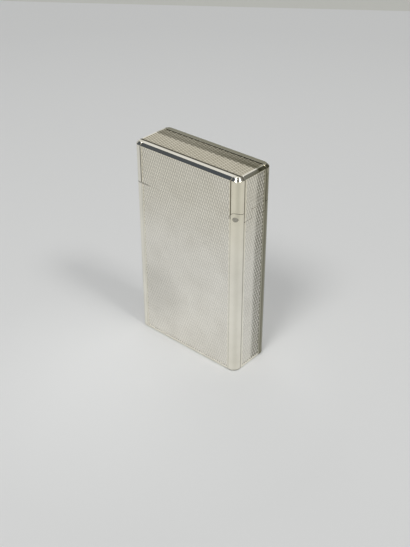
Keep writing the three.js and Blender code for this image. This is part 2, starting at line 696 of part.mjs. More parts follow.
function makeFlintColumn() {
  const tubeBottom = sealBottom + SEAL_THICKNESS + FIT;
  add('flint_tube', turnedRing(rollerX, [
    [flintBore, tubeBottom],
    [flintTubeRadius, tubeBottom],
    [flintTubeRadius, deckTop],
    [flintBore, deckTop],
  ]), brass);
  makeBaseScrew('flint_screw', 'flint_washer', rollerX, FLINT_SCREW_HEAD_RADIUS,
    FLINT_SCREW_SHANK_RADIUS, flintTubeRadius, screwTip);
  const followerBottom = followerTop - FOLLOWER_LENGTH;
  add('flint', cylinderZ(rollerX, 0, FLINT_RADIUS, flintTop - FLINT_LENGTH, flintTop, SMALL), flintAlloy);
  add('flint_follower', turned(rollerX, [
    [0, followerBottom],
    [FLINT_RADIUS - FLINT_SPRING_WIRE, followerBottom],
    [FLINT_RADIUS, followerBottom + FLINT_SPRING_WIRE],
    [FLINT_RADIUS, followerTop],
    [0, followerTop],
  ], SMALL), brass);
  const meanRadius = FLINT_RADIUS - FLINT_SPRING_WIRE / 2;
  add('flint_spring', spring(rollerX, meanRadius, FLINT_SPRING_WIRE, FLINT_SPRING_PITCH,
    screwTip + FIT, followerBottom - FIT), steel);
}

function makeDeck() {
  const drop = deckBottom - 1;
  let deck = columnPrism(CASE_WALL + FIT, deckBottom, deckTop)
    .subtract(box(deckEnd, halfWidth, -halfDepth, halfDepth, 0, height))
    .subtract(cylinderZ(rollerX, 0, flintTubeRadius + FIT, drop, height))
    .subtract(cylinderZ(BURNER_X, 0, VALVE_RADIUS + FIT, drop, height));
  smallScrewPlaces().forEach(([x, y]) => {
    deck = deck.subtract(cylinderZ(x, y, SMALL_SCREW_RADIUS + SEAT_GAP, drop, height, SMALL));
  });
  add('top_deck', deck, nickel);
}

function smallScrewPlaces() {
  return [
    [leverPivotX, -bracketScrewY],
    [leverPivotX, bracketScrewY],
    [rollerX, -yokeScrewY],
    [rollerX, yokeScrewY],
  ];
}

// A countersunk screw that holds a sheet of the given thickness down on the deck.
function makeSmallScrew(name, x, y, sheet) {
  const top = deckTop + SEAT_GAP + sheet;
  const neck = top - SMALL_SCREW_HEAD_THICKNESS;
  const slot = box(x - SMALL_SCREW_HEAD_RADIUS, x + SMALL_SCREW_HEAD_RADIUS,
    y - SMALL_SCREW_SLOT / 2, y + SMALL_SCREW_SLOT / 2, top - SMALL_SCREW_SLOT, top + 1);
  const body = turned(x, [
    [0, deckBottom],
    [SMALL_SCREW_RADIUS, deckBottom],
    [SMALL_SCREW_RADIUS, neck],
    [SMALL_SCREW_HEAD_RADIUS, top],
    [0, top],
  ], SMALL).translate([0, y, 0]);
  add(name, body.subtract(slot), steel);
}

// The countersunk hole for a small screw in a sheet on the deck.
function smallScrewHole(x, y, sheet) {
  const top = deckTop + SEAT_GAP + sheet;
  return turned(x, [
    [0, deckTop - 1],
    [SMALL_SCREW_RADIUS + SEAT_GAP, deckTop - 1],
    [SMALL_SCREW_RADIUS + SEAT_GAP, top - SMALL_SCREW_HEAD_THICKNESS],
    [SMALL_SCREW_HEAD_RADIUS + SEAT_GAP, top],
    [SMALL_SCREW_HEAD_RADIUS + SEAT_GAP, top + 1],
    [0, top + 1],
  ], SMALL).translate([0, y, 0]);
}

function makeBurner() {
  const springBottom = valveShoulder;
  add('burner_valve', turnedRing(BURNER_X, [
    [VALVE_PORT_RADIUS, valveBottom],
    [VALVE_STEM_RADIUS, valveBottom],
    [VALVE_STEM_RADIUS, valveShoulder],
    [VALVE_RADIUS, valveShoulder],
    [VALVE_RADIUS, valveTop],
    [VALVE_SPRING_BORE_RADIUS, valveTop],
    [VALVE_SPRING_BORE_RADIUS, springBottom],
    [VALVE_BORE_RADIUS, springBottom],
    [VALVE_BORE_RADIUS, valveSeat],
    [VALVE_PORT_RADIUS, valveSeat],
  ]), brass);
  add('valve_seal', cylinderZ(BURNER_X, 0, VALVE_BORE_RADIUS - SEAT_GAP * 2, valveSeat + SEAT_GAP,
    valveSeat + SEAT_GAP + VALVE_SEAL_THICKNESS, SMALL), rubber);
  const collarBottom = valveTop - JET_COLLAR_DROP - JET_COLLAR_THICKNESS;
  add('burner_jet', turned(BURNER_X, [
    [0, jetBottom],
    [JET_RADIUS, jetBottom],
    [JET_RADIUS, collarBottom],
    [JET_COLLAR_RADIUS, collarBottom],
    [JET_COLLAR_RADIUS, collarBottom + JET_COLLAR_THICKNESS],
    [JET_RADIUS, collarBottom + JET_COLLAR_THICKNESS],
    [JET_RADIUS, jetFlange],
    [JET_FLANGE_RADIUS, jetFlange],
    [JET_FLANGE_RADIUS, jetFlange + JET_FLANGE_THICKNESS],
    [JET_RADIUS, jetFlange + JET_FLANGE_THICKNESS],
    [JET_RADIUS, jetUpperFlange],
    [JET_FLANGE_RADIUS, jetUpperFlange],
    [JET_FLANGE_RADIUS, jetNozzle],
    [JET_RADIUS, jetNozzle],
    [JET_TIP_RADIUS, jetTop],
    [JET_HOLE_RADIUS, jetTop],
    [JET_HOLE_RADIUS, jetTop - JET_HOLE_DEPTH],
    [0, jetTop - JET_HOLE_DEPTH],
  ]), brass);
  const meanRadius = (JET_RADIUS + VALVE_SPRING_BORE_RADIUS) / 2;
  add('jet_spring', spring(BURNER_X, meanRadius, JET_SPRING_WIRE, JET_SPRING_PITCH,
    springBottom + SEAT_GAP, collarBottom - SEAT_GAP), steel);
  const ring = toothed(ADJUSTER_RADIUS, ADJUSTER_TOOTH_DEPTH, ADJUSTER_TEETH);
  const ringBottom = deckTop + ADJUSTER_GAP;
  const hole = cylinderZ(BURNER_X, 0, VALVE_RADIUS + FIT, deckTop, height, FINE);
  add('flame_adjuster', prismZ(ring, ringBottom, ringBottom + ADJUSTER_THICKNESS)
    .translate([BURNER_X, 0, 0]).subtract(hole), brass);
}

function makeGuard() {
  const start = BURNER_X - GUARD_OPEN_REACH;
  const top = guardBottom + GUARD_HEIGHT;
  const inside = guardOutside - GUARD_SHEET;
  const beyond = 2 * GUARD_CORNER;
  const outer = roundedRectangle(start - beyond, guardEnd, -guardOutside, guardOutside, GUARD_CORNER);
  const inner = roundedRectangle(start - beyond - 1, guardEnd - GUARD_SHEET, -inside, inside,
    GUARD_CORNER - GUARD_SHEET);
  const leverSlot = LEVER_HALF_WIDTH + LEVER_SLOT_REACH;
  const guard = prismZ(outer, guardBottom, top)
    .subtract(prismZ(inner, guardBottom - 1, top + 1))
    .subtract(box(start - beyond - 1, start, -halfDepth, halfDepth, 0, height))
    .subtract(cylinderY(BURNER_X, guardBottom + GUARD_WINDOW_RISE, GUARD_WINDOW_RADIUS,
      -halfDepth, halfDepth))
    .subtract(box(BURNER_X, guardEnd + 1, -leverSlot, leverSlot, leverBottom - LEVER_SLOT_REACH,
      leverTop + LEVER_SLOT_REACH));
  add('wind_guard', guard, nickel);
}

function makeLever() {
  const slot = JET_RADIUS + LEVER_SLOT_CLEARANCE;
  const tip = BURNER_X - JET_FLANGE_RADIUS;
  const pinHole = cylinderY(leverPivotX, leverZ, LEVER_PIN_RADIUS + PIN_RUNNING_FIT,
    -halfDepth, halfDepth);
  const lever = box(tip, leverPivotX, -LEVER_HALF_WIDTH, LEVER_HALF_WIDTH, leverBottom, leverTop)
    .add(cylinderY(leverPivotX, leverZ, LEVER_HUB_RADIUS, -LEVER_HALF_WIDTH, LEVER_HALF_WIDTH))
    .subtract(box(tip - 1, BURNER_X, -slot, slot, 0, height))
    .subtract(cylinderZ(BURNER_X, 0, slot, 0, height))
    .subtract(pinHole);
  add('valve_lever', lever, steel);

  const foot = deckTop + SEAT_GAP;
  const footTop = foot + BRACKET_SHEET;
  const footEnd = bracketOutside + BRACKET_FOOT;
  const x0 = leverPivotX - BRACKET_HALF_LENGTH;
  const x1 = leverPivotX + BRACKET_HALF_LENGTH;
  let bracket = box(x0, x1, -footEnd, footEnd, foot, footTop);
  [[-bracketOutside, -bracketInside], [bracketInside, bracketOutside]].forEach(([y0, y1]) => {
    const eye = cylinderY(leverPivotX, leverZ, BRACKET_HALF_LENGTH, y0, y1);
    bracket = bracket.add(eye).add(box(x0, x1, y0, y1, foot, leverZ));
  });
  [-1, 1].forEach((side) => {
    bracket = bracket.subtract(smallScrewHole(leverPivotX, side * bracketScrewY, BRACKET_SHEET));
  });
  const bracketHole = cylinderY(leverPivotX, leverZ, LEVER_PIN_RADIUS + PIN_FIT,
    -halfDepth, halfDepth);
  add('lever_bracket', bracket.subtract(bracketHole), nickel);
  makeSmallScrew('bracket_screw_front', leverPivotX, -bracketScrewY, BRACKET_SHEET);
  makeSmallScrew('bracket_screw_rear', leverPivotX, bracketScrewY, BRACKET_SHEET);
  const pinEnd = bracketOutside + LEVER_PIN_END;
  add('lever_pin', cylinderY(leverPivotX, leverZ, LEVER_PIN_RADIUS, -pinEnd, pinEnd), steel);
  add('lever_spring', spring(leverSpringX, LEVER_SPRING_RADIUS, LEVER_SPRING_WIRE,
    LEVER_SPRING_PITCH, deckTop + SEAT_GAP, leverBottom - SEAT_GAP), steel);
}

function makeStriker() {
  const foot = deckTop + SEAT_GAP;
  const footTop = foot + YOKE_THICKNESS;
  const x0 = rollerX - YOKE_HALF_LENGTH;
  const x1 = rollerX + YOKE_HALF_LENGTH;
  let yoke = box(x0, x1, -yokeOutside, yokeOutside, foot, footTop);
  [[-yokeOutside, -yokeInside], [yokeInside, yokeOutside]].forEach(([y0, y1]) => {
    const cheek = polygon([
      [x0, foot],
      [x1, foot],
      [rollerX + YOKE_EYE_RADIUS, rollerZ],
      [rollerX - YOKE_EYE_RADIUS, rollerZ],
    ]);
    yoke = yoke.add(prismY(cheek, y0, y1)).add(cylinderY(rollerX, rollerZ, YOKE_EYE_RADIUS, y0, y1));
  });
  [-1, 1].forEach((side) => {
    yoke = yoke.subtract(smallScrewHole(rollerX, side * yokeScrewY, YOKE_THICKNESS));
  });
  yoke = yoke
    .subtract(cylinderZ(rollerX, 0, flintBore, 0, footTop + 1))
    .subtract(cylinderY(rollerX, rollerZ, AXLE_RADIUS + AXLE_RUNNING_FIT, -halfDepth, halfDepth));
  add('roller_yoke', yoke, nickel);
  makeSmallScrew('yoke_screw_front', rollerX, -yokeScrewY, YOKE_THICKNESS);
  makeSmallScrew('yoke_screw_rear', rollerX, yokeScrewY, YOKE_THICKNESS);

  add('roller_axle', cylinderY(rollerX, rollerZ, AXLE_RADIUS, -axleEnd, axleEnd), steel);
  const bore = cylinderY(rollerX, rollerZ, AXLE_RADIUS + PIN_FIT, -halfDepth, halfDepth);
  const wheel = (radius, depth, teeth, y0, y1) =>
    prismY(toothed(radius, depth, teeth), y0, y1).translate([rollerX, 0, rollerZ]).subtract(bore);
  add('thumb_roller_front', wheel(ROLLER_RADIUS, ROLLER_TOOTH_DEPTH, ROLLER_TEETH,
    -rollerEnd, -rollerStart), steel);
  add('thumb_roller_rear', wheel(ROLLER_RADIUS, ROLLER_TOOTH_DEPTH, ROLLER_TEETH,
    rollerStart, rollerEnd), steel);
  add('flint_wheel', wheel(FLINT_WHEEL_RADIUS, FLINT_WHEEL_TOOTH_DEPTH, FLINT_WHEEL_TEETH,
    -FLINT_WHEEL_WIDTH / 2, FLINT_WHEEL_WIDTH / 2), blackenedSteel);
}

makeCase();
makeBase();
makeTank();
makeFiller();
makeFlintColumn();
makeDeck();
makeBurner();
makeGuard();
makeLever();
makeStriker();
makeHingePin();
makeSnapLeaf();
makeCap();
makeLiner();

export default root;
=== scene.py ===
"""Looks of a slim gas pocket lighter with a hinged cap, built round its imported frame.

The frame is in metres: +X is the hinge side, -Y the front, +Z up, with the origin in the middle of
the base. Sizes in this file are in millimetres unless a name says otherwise.
"""

import json
import logging
import math
from dataclasses import dataclass
from enum import Enum
from typing import Iterable, Optional, Sequence

import bmesh
import bpy
from mathutils import Matrix, Quaternion, Vector


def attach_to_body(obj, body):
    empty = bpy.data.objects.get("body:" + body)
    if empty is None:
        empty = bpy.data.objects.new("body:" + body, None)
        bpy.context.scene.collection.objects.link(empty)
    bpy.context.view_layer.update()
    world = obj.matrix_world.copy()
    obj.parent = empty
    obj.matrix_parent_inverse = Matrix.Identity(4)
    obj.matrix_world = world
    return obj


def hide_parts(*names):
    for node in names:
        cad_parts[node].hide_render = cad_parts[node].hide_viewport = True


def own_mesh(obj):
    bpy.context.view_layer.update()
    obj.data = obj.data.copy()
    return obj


log = logging.getLogger("lighter")

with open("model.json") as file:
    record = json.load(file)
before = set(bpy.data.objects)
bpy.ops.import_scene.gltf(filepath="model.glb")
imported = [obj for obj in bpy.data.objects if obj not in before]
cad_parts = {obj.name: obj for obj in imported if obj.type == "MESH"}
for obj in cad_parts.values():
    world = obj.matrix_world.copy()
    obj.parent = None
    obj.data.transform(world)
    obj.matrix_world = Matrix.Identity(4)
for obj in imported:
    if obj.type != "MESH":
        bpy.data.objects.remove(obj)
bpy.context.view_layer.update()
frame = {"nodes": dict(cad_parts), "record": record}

MM = 0.001
HALF_WIDTH = 17.25
HALF_DEPTH = 6.5
HEIGHT = 57.0

# How the CAD meshes are joined and rounded
WELD_MM = 0.0005
FLAT_DEG = 0.4
SHARP_DEG = 24.0
EDGE_SEGMENTS = 2
CUT_TOLERANCE = 1e-7

# How deep an outer face reaches for the masks, how crisp a hard edge is, and a line's full core
SKIN = 0.6
CRISP = 0.01
LINE_CORE = 0.45

# The attribute that tells how high a point of the pattern is
RELIEF = "relief"

Colour = tuple[float, float, float]
Socket = bpy.types.NodeSocket


def mm(x: float, y: float, z: float) -> Vector:
    """A point given in millimetres, in metres."""
    return Vector((x, y, z)) * MM


class Tree:
    """A thin wrapper for building a node tree."""

    def __init__(self, tree: bpy.types.NodeTree) -> None:
        """Wraps the node tree to build in."""
        self.tree = tree

    def add(self, kind: str, inputs: Optional[dict] = None, **settings: object) -> bpy.types.Node:
        """Adds a node and sets or links its inputs.

        Args:
            kind: the node's type name.
            inputs: socket name or index to a value, or to what links there: an output socket, or a
                node for its first output.
            settings: the node's own properties.

        Returns:
            The new node.
        """
        node = self.tree.nodes.new(kind)
        for name, value in settings.items():
            setattr(node, name, value)
        for name, value in (inputs or {}).items():
            socket = node.inputs[name]
            if isinstance(value, bpy.types.Node):
                value = value.outputs[0]
            if isinstance(value, Socket):
                self.tree.links.new(value, socket)
            else:
                socket.default_value = value
        return node

    def math(self, operation: str, *values: object) -> Socket:
        """The output socket of a new math node, whose inputs are given in order."""
        return self.add("ShaderNodeMath", dict(enumerate(values)), operation=operation).outputs[0]

    def chain(self, operation: str, values: Sequence[object]) -> Socket:
        """Runs one operation over several values, for their product or their maximum.

        Args:
            operation: the math node's operation.
            values: numbers or output sockets.

        Returns:
            The output socket of the last node.
        """
        result = values[0]
        for value in values[1:]:
            result = self.math(operation, result, value)
        return result

    def smooth(
        self, value: Socket, start: float, end: float, low: float = 0.0, high: float = 1.0
    ) -> Socket:
        """Goes smoothly from a low to a high value.

        Args:
            value: the value that it follows.
            start: where it is low.
            end: where it is high.
            low: the low value.
            high: the high value.

        Returns:
            The output socket.
        """
        return self.add(
            "ShaderNodeMapRange",
            {"Value": value, "From Min": start, "From Max": end, "To Min": low, "To Max": high},
            interpolation_type="SMOOTHSTEP",
        ).outputs[0]

    def mix(self, share: object, first: object, second: object) -> Socket:
        """Mixes a second colour into a first.

        Args:
            share: how much of the second colour there is, as a socket or a node.
            first: the first colour, as numbers or an output socket.
            second: the second colour, likewise.

        Returns:
            The output socket of the mixed colour.
        """
        inputs = {"Factor": share}
        for label, colour in (("A", first), ("B", second)):
            inputs[label] = (*colour, 1.0) if isinstance(colour, tuple) else colour
        return self.add("ShaderNodeMix", inputs, data_type="RGBA").outputs["Result"]

    def colour_ramp(self, value: Socket, stops: Sequence[tuple[float, Colour]]) -> Socket:
        """Turns a value into a colour.

        Args:
            value: the value.
            stops: the colours and the values that they stand at.

        Returns:
            The output socket of the colour.
        """
        ramp = self.add("ShaderNodeValToRGB", {"Fac": value})
        elements = ramp.color_ramp.elements
        while len(elements) < len(stops):
            elements.new(0.5)
        for element, (level, colour) in zip(elements, stops):
            element.position = level
            element.color = (*colour, 1.0)
        return ramp.outputs["Color"]


def new_group(name: str, kind: str, inputs: Sequence[tuple], outputs: Sequence[tuple]) -> Tree:
    """Makes a node group with named sockets.

    Args:
        name: the group's name.
        kind: ShaderNodeTree or GeometryNodeTree.
        inputs: socket name, socket type and default value of each input.
        outputs: socket name and socket type of each output.

    Returns:
        The wrapped group, still without its inside nodes.
    """
    group = bpy.data.node_groups.new(name, kind)
    for label, socket_type, default in inputs:
        socket = group.interface.new_socket(name=label, in_out="INPUT", socket_type=socket_type)
        if default is not None:
            socket.default_value = default
    for label, socket_type in outputs:
        group.interface.new_socket(name=label, in_out="OUTPUT", socket_type=socket_type)
    return Tree(group)


def metal_wear_group() -> bpy.types.NodeTree:
    """Builds the shared effect of handled metal: cloudy tarnish, hazy gloss and fine rubbed grain.

    Returns:
        The shader node group.
    """
    name = "metal_wear"
    if name in bpy.data.node_groups:
        return bpy.data.node_groups[name]
    tree = new_group(
        name,
        "ShaderNodeTree",
        [
            ("Colour", "NodeSocketColor", (0.8, 0.8, 0.8, 1.0)),
            ("Tarnish Colour", "NodeSocketColor", (0.4, 0.38, 0.3, 1.0)),
            ("Tarnish", "NodeSocketFloat", 0.1),
            ("Roughness", "NodeSocketFloat", 0.2),
            ("Haze", "NodeSocketFloat", 0.05),
            ("Cloud Scale", "NodeSocketFloat", 150.0),
            ("Grain Scale", "NodeSocketVector", (2000.0, 2000.0, 2000.0)),
        ],
        [("Colour", "NodeSocketColor"), ("Roughness", "NodeSocketFloat"), ("Height", "NodeSocketFloat")],
    )
    given = tree.add("NodeGroupInput").outputs
    place = tree.add("ShaderNodeTexCoord").outputs["Object"]
    cloud = tree.add(
        "ShaderNodeTexNoise",
        {"Vector": place, "Scale": given["Cloud Scale"], "Detail": 5.0, "Roughness": 0.6},
    )
    spread = tree.add("ShaderNodeMapRange", {"Value": cloud, "From Min": 0.38, "From Max": 0.68})
    tarnish = tree.math("MULTIPLY", spread, given["Tarnish"])
    colour = tree.mix(tarnish, given["Colour"], given["Tarnish Colour"])
    stretched = tree.add(
        "ShaderNodeVectorMath", {0: place, 1: given["Grain Scale"]}, operation="MULTIPLY"
    )
    grain = tree.add(
        "ShaderNodeTexNoise",
        {"Vector": stretched, "Scale": 1.0, "Detail": 3.0, "Roughness": 0.55},
    )
    centred = tree.math("SUBTRACT", grain, 0.5)
    haze = tree.math("MULTIPLY", tree.math("ADD", centred, spread), given["Haze"])
    roughness = tree.math("ADD", given["Roughness"], haze)
    tree.add("NodeGroupOutput", {"Colour": colour, "Roughness": roughness, "Height": grain})
    return tree.tree


class Measure(Enum):
    """What a ramp follows on the lighter, in millimetres."""

    X = "towards the hinge side"
    Y = "towards the back"
    Z = "up from the base"
    ACROSS = "out to either end"
    DEEP = "out to the front or the back"
    DIAGONAL = "round a corner column"
    PATCH = "away from the dull patch low on the front"


Measured = dict[Measure, Socket]


class Face(Enum):
    """The outer faces that a zone can be kept to: a measure, and how far out the face starts."""

    ROOF = (Measure.Z, HEIGHT - SKIN)
    HINGE_SIDE = (Measure.X, HALF_WIDTH - SKIN)
    ENDS = (Measure.ACROSS, HALF_WIDTH - SKIN)
    WIDE = (Measure.DEEP, HALF_DEPTH - SKIN)


@dataclass(frozen=True)
class Ramp:
    """A smooth change along one measure, from low at its start to high at its end.

    With a centre it follows the distance from there.
    """

    measure: Measure
    start: float
    end: float
    low: float = 0.0
    high: float = 1.0
    centre: Optional[float] = None

    def socket(self, tree: Tree, values: Measured) -> Socket:
        """Builds the ramp.

        Args:
            tree: the tree to build in.
            values: the output socket of each measure.

        Returns:
            The ramp's output socket.
        """
        value = values[self.measure]
        if self.centre is not None:
            value = tree.math("ABSOLUTE", tree.math("SUBTRACT", value, self.centre))
        return tree.smooth(value, self.start, self.end, self.low, self.high)


def line(measure: Measure, centre: float, width: float) -> Ramp:
    """A soft line: one in its core and nought beyond its width."""
    return Ramp(measure, width, LINE_CORE * width, centre=centre)


@dataclass(frozen=True)
class Zone:
    """A soft-edged part of the outside: the product of its ramps, on one face or on all."""

    strength: float
    ramps: tuple[Ramp, ...]
    face: Optional[Face] = None
    gap: tuple[Ramp, ...] = ()

    def socket(self, tree: Tree, values: Measured) -> Socket:
        """Builds the zone, which leaves out its gap.

        Args:
            tree: the tree to build in.
            values: the output socket of each measure.

        Returns:
            The zone's output socket.
        """
        factors = [ramp.socket(tree, values) for ramp in self.ramps]
        if self.face is not None:
            measure, start = self.face.value
            factors.append(tree.math("GREATER_THAN", values[measure], start))
        if self.gap:
            left_out = tree.chain("MULTIPLY", [ramp.socket(tree, values) for ramp in self.gap])
            factors.append(tree.math("SUBTRACT", 1.0, left_out))
        return tree.chain("MULTIPLY", [*factors, self.strength])


@dataclass(frozen=True)
class SilverPlaces:
    """Where the silver is darker, as masks in one shared shader group: tarnish and dirt, and painted
    shade and painted reflection.

    Groove is high along the fine grooves, a few seams and the foot, as painted shade with some tarnish
    in the grooves; High rises towards the cap and is highest on the roof; Band is high down the middle
    of each column, as a painted reflection of a darker band; Dull is high on the roof, on a patch low on
    the front and low on the hinge side; and Rear is high on the rear part of the roof and of the hinge
    side, and on the column behind them, as a painted reflection of the dark side of the room.
    """

    groove_inset: float = 2.4
    groove_width: float = 0.24
    roof_groove: float = 4.38
    roof_groove_width: float = 0.5
    seam_height: float = 45.9
    cap_start: tuple[float, float] = (45.9, 46.1)
    patch_middle: tuple[float, float, float] = (-11.0, -6.5, 14.0)
    patch_reach: tuple[float, float] = (13.0, 3.0)
    band_reach: tuple[float, float] = (1.274, 0.103)

    def grooves(self) -> tuple[Zone, ...]:
        """Lists the fine grooves, the foot of the wide faces and front column, and a seam's end: painted
        shade and a painted contact shadow, with some tarnish in the grooves.

        Returns:
            The zones.
        """
        wide = HALF_WIDTH - self.groove_inset
        narrow = HALF_DEPTH - self.groove_inset
        fainter_below = Ramp(Measure.Z, *self.cap_start, low=0.23, high=0.65)
        wide_line = line(Measure.ACROSS, wide, self.groove_width)
        narrow_line = line(Measure.DEEP, narrow, self.groove_width)
        # Painted shade along the foot of the sunk fields on the wide faces.
        field_foot = (
            Ramp(Measure.Z, 1.3, 1.1), Ramp(Measure.Z, 0.7, 0.9),
            Ramp(Measure.ACROSS, wide + CRISP, wide - CRISP),
        )
        # A painted contact shadow at the front column's foot.
        column_foot = (
            Ramp(Measure.Z, 0.8, 0.3), Ramp(Measure.X, 14.0, 15.0), Ramp(Measure.Y, -3.9, -4.6)
        )
        # Painted shade in the seam's gap at its left end.
        seam_end = (line(Measure.Z, self.seam_height, 0.3), Ramp(Measure.X, -11.3, -13.0))
        roof_line = line(Measure.Y, -self.roof_groove, self.roof_groove_width)
        return (
            Zone(1.0, (wide_line, fainter_below), Face.WIDE),
            Zone(1.0, (narrow_line, fainter_below), Face.ENDS),
            Zone(0.56, (narrow_line,), Face.HINGE_SIDE),
            Zone(0.08, field_foot, Face.WIDE),
            Zone(0.4, column_foot),
            Zone(0.45, seam_end),
            Zone(1.0, (roof_line,), Face.ROOF),
        )

    def rear(self) -> tuple[Zone, ...]:
        """Lists the rear parts, painted with a reflection of the dark side of the room.

        Returns:
            The zones.
        """
        roof = (
            Ramp(Measure.Y, 0.9, 1.7), Ramp(Measure.Y, 2.1, 3.2, 1.0, 0.7),
            Ramp(Measure.X, -4.0, 16.0, 0.48, 0.82),
        )
        roof_edge = (
            Ramp(Measure.Y, 4.4, 4.6), Ramp(Measure.Z, 56.1, 56.35), Ramp(Measure.X, 16.6, 16.3)
        )
        column = (
            Ramp(Measure.X, 13.8, 14.6), Ramp(Measure.Y, 3.8, 4.4), Ramp(Measure.Z, 56.2, 54.8)
        )
        return (
            Zone(1.0, roof, Face.ROOF),
            Zone(0.86, roof_edge),
            Zone(0.1, (Ramp(Measure.Y, -0.6, 1.3),), Face.HINGE_SIDE),
            Zone(0.7, (Ramp(Measure.Y, 3.35, 3.45),), Face.HINGE_SIDE),
            Zone(0.85, column),
        )

    def masks(self) -> dict[str, tuple[Zone, ...]]:
        """Gathers the zones of each mask, which is as high as the strongest of them.

        Returns:
            The zones by the mask's name.
        """
        roof_field = (
            Ramp(Measure.Z, 56.82, 56.86), Ramp(Measure.DEEP, 4.3, 4.1),
            Ramp(Measure.ACROSS, 16.15, 15.95),
        )
        upper = (Ramp(Measure.Z, 26.0, 54.0), Ramp(Measure.Z, 56.32, 56.28))
        thumb_columns = (Ramp(Measure.X, -14.2, -14.9), Ramp(Measure.DEEP, 3.6, 4.2))
        column_middle = Ramp(Measure.DIAGONAL, *self.band_reach, centre=HALF_DEPTH - HALF_WIDTH)
        return {
            "Groove": self.grooves(),
            # High is a warm darker tint that rises towards the cap and is highest on the roof, and it
            # deepens the darkening of the pattern's valleys.
            "High": (Zone(1.0, upper, gap=thumb_columns), Zone(2.4, roof_field)),
            # Band paints the reflection of a darker band down the middle of each column, weaker on the
            # case.
            "Band": (Zone(1.0, (column_middle, Ramp(Measure.Z, *self.cap_start, low=0.38))),),
            "Dull": (
                Zone(1.0, (Ramp(Measure.PATCH, *self.patch_reach),)),
                Zone(0.6, roof_field),
                Zone(0.42, (Ramp(Measure.Z, 38.0, 8.0),), Face.HINGE_SIDE),
            ),
            "Rear": self.rear(),
        }

    def measured(self, tree: Tree) -> Measured:
        """Measures the place that is shaded, in millimetres.

        Args:
            tree: the tree to build in.

        Returns:
            The output socket of each measure.
        """
        place = tree.add("ShaderNodeTexCoord").outputs["Object"]
        scaled = tree.add("ShaderNodeVectorMath", {0: place, "Scale": 1.0 / MM}, operation="SCALE")
        split = tree.add("ShaderNodeSeparateXYZ", {0: scaled}).outputs
        across = tree.math("ABSOLUTE", split["X"])
        deep = tree.math("ABSOLUTE", split["Y"])
        away = tree.add(
            "ShaderNodeVectorMath", {0: scaled, 1: self.patch_middle}, operation="DISTANCE"
        )
        return {
            Measure.X: split["X"],
            Measure.Y: split["Y"],
            Measure.Z: split["Z"],
            Measure.ACROSS: across,
            Measure.DEEP: deep,
            Measure.DIAGONAL: tree.math("SUBTRACT", deep, across),
            Measure.PATCH: away.outputs["Value"],
        }

    def group(self) -> bpy.types.NodeTree:
        """Builds the shader group, or returns the one already built.

        Returns:
            The shader node group, with one output for each mask.
        """
        name = "silver_places"
        if name in bpy.data.node_groups:
            return bpy.data.node_groups[name]
        masks = self.masks()
        tree = new_group(name, "ShaderNodeTree", [], [(label, "NodeSocketFloat") for label in masks])
        values = self.measured(tree)
        outputs = {}
        for label, zones in masks.items():
            outputs[label] = tree.chain("MAXIMUM", [zone.socket(tree, values) for zone in zones])
        tree.add("NodeGroupOutput", outputs)
        return tree.tree


@dataclass(frozen=True)
class Finish:
    """What every finish has: the material's name, the record's slot and the colour."""

    name: str
    slot: str
    colour: Colour

    def material(self) -> bpy.types.Material:
        """Builds the material, or returns the one already built.

        Returns:
            The material.
        """
        if self.name in bpy.data.materials:
            return bpy.data.materials[self.name]
        made = bpy.data.materials.new(self.name)
        made.use_nodes = True
        made.node_tree.nodes.clear()
        tree = Tree(made.node_tree)
        surface = tree.add("ShaderNodeBsdfPrincipled", self.surface(tree))
        tree.add("ShaderNodeOutputMaterial", {"Surface": surface})
        return made

    def surface(self, tree: Tree) -> dict[str, object]:
        """What each of the surface shader's inputs gets."""
        raise NotImplementedError


@dataclass(frozen=True)
class MetalFinish(Finish):
    """A metal's finish, made from the shared wear effect."""

    tarnish_colour: Colour = (0.35, 0.31, 0.22)
    tarnish: float = 0.12
    roughness: float = 0.2
    haze: float = 0.06
    cloud_mm: float = 7.0
    grain_mm: tuple[float, float, float] = (0.5, 0.5, 0.5)
    grain_height_mm: float = 0.001

    def surface(self, tree: Tree) -> dict[str, object]:
        """Builds worn metal.

        Args:
            tree: the material's tree.

        Returns:
            What each of the shader's inputs gets.
        """
        wear = tree.add(
            "ShaderNodeGroup",
            {
                "Colour": (*self.colour, 1.0),
                "Tarnish Colour": (*self.tarnish_colour, 1.0),
                "Tarnish": self.tarnish,
                "Roughness": self.roughness,
                "Haze": self.haze,
                "Cloud Scale": 1.0 / (self.cloud_mm * MM),
                "Grain Scale": [1.0 / (size * MM) for size in self.grain_mm],
            },
            node_tree=metal_wear_group(),
        )
        colour, roughness = self._marked_places(tree, wear.outputs["Colour"], wear.outputs["Roughness"])
        bump = tree.add(
            "ShaderNodeBump",
            {"Height": wear.outputs["Height"], "Distance": self.grain_height_mm * MM},
        )
        return {"Base Color": colour, "Metallic": 1.0, "Roughness": roughness, "Normal": bump}

    def _marked_places(self, tree: Tree, colour: Socket, roughness: Socket) -> tuple[Socket, Socket]:
        """The colour and the roughness as they are: a plain metal has no marked places."""
        return colour, roughness


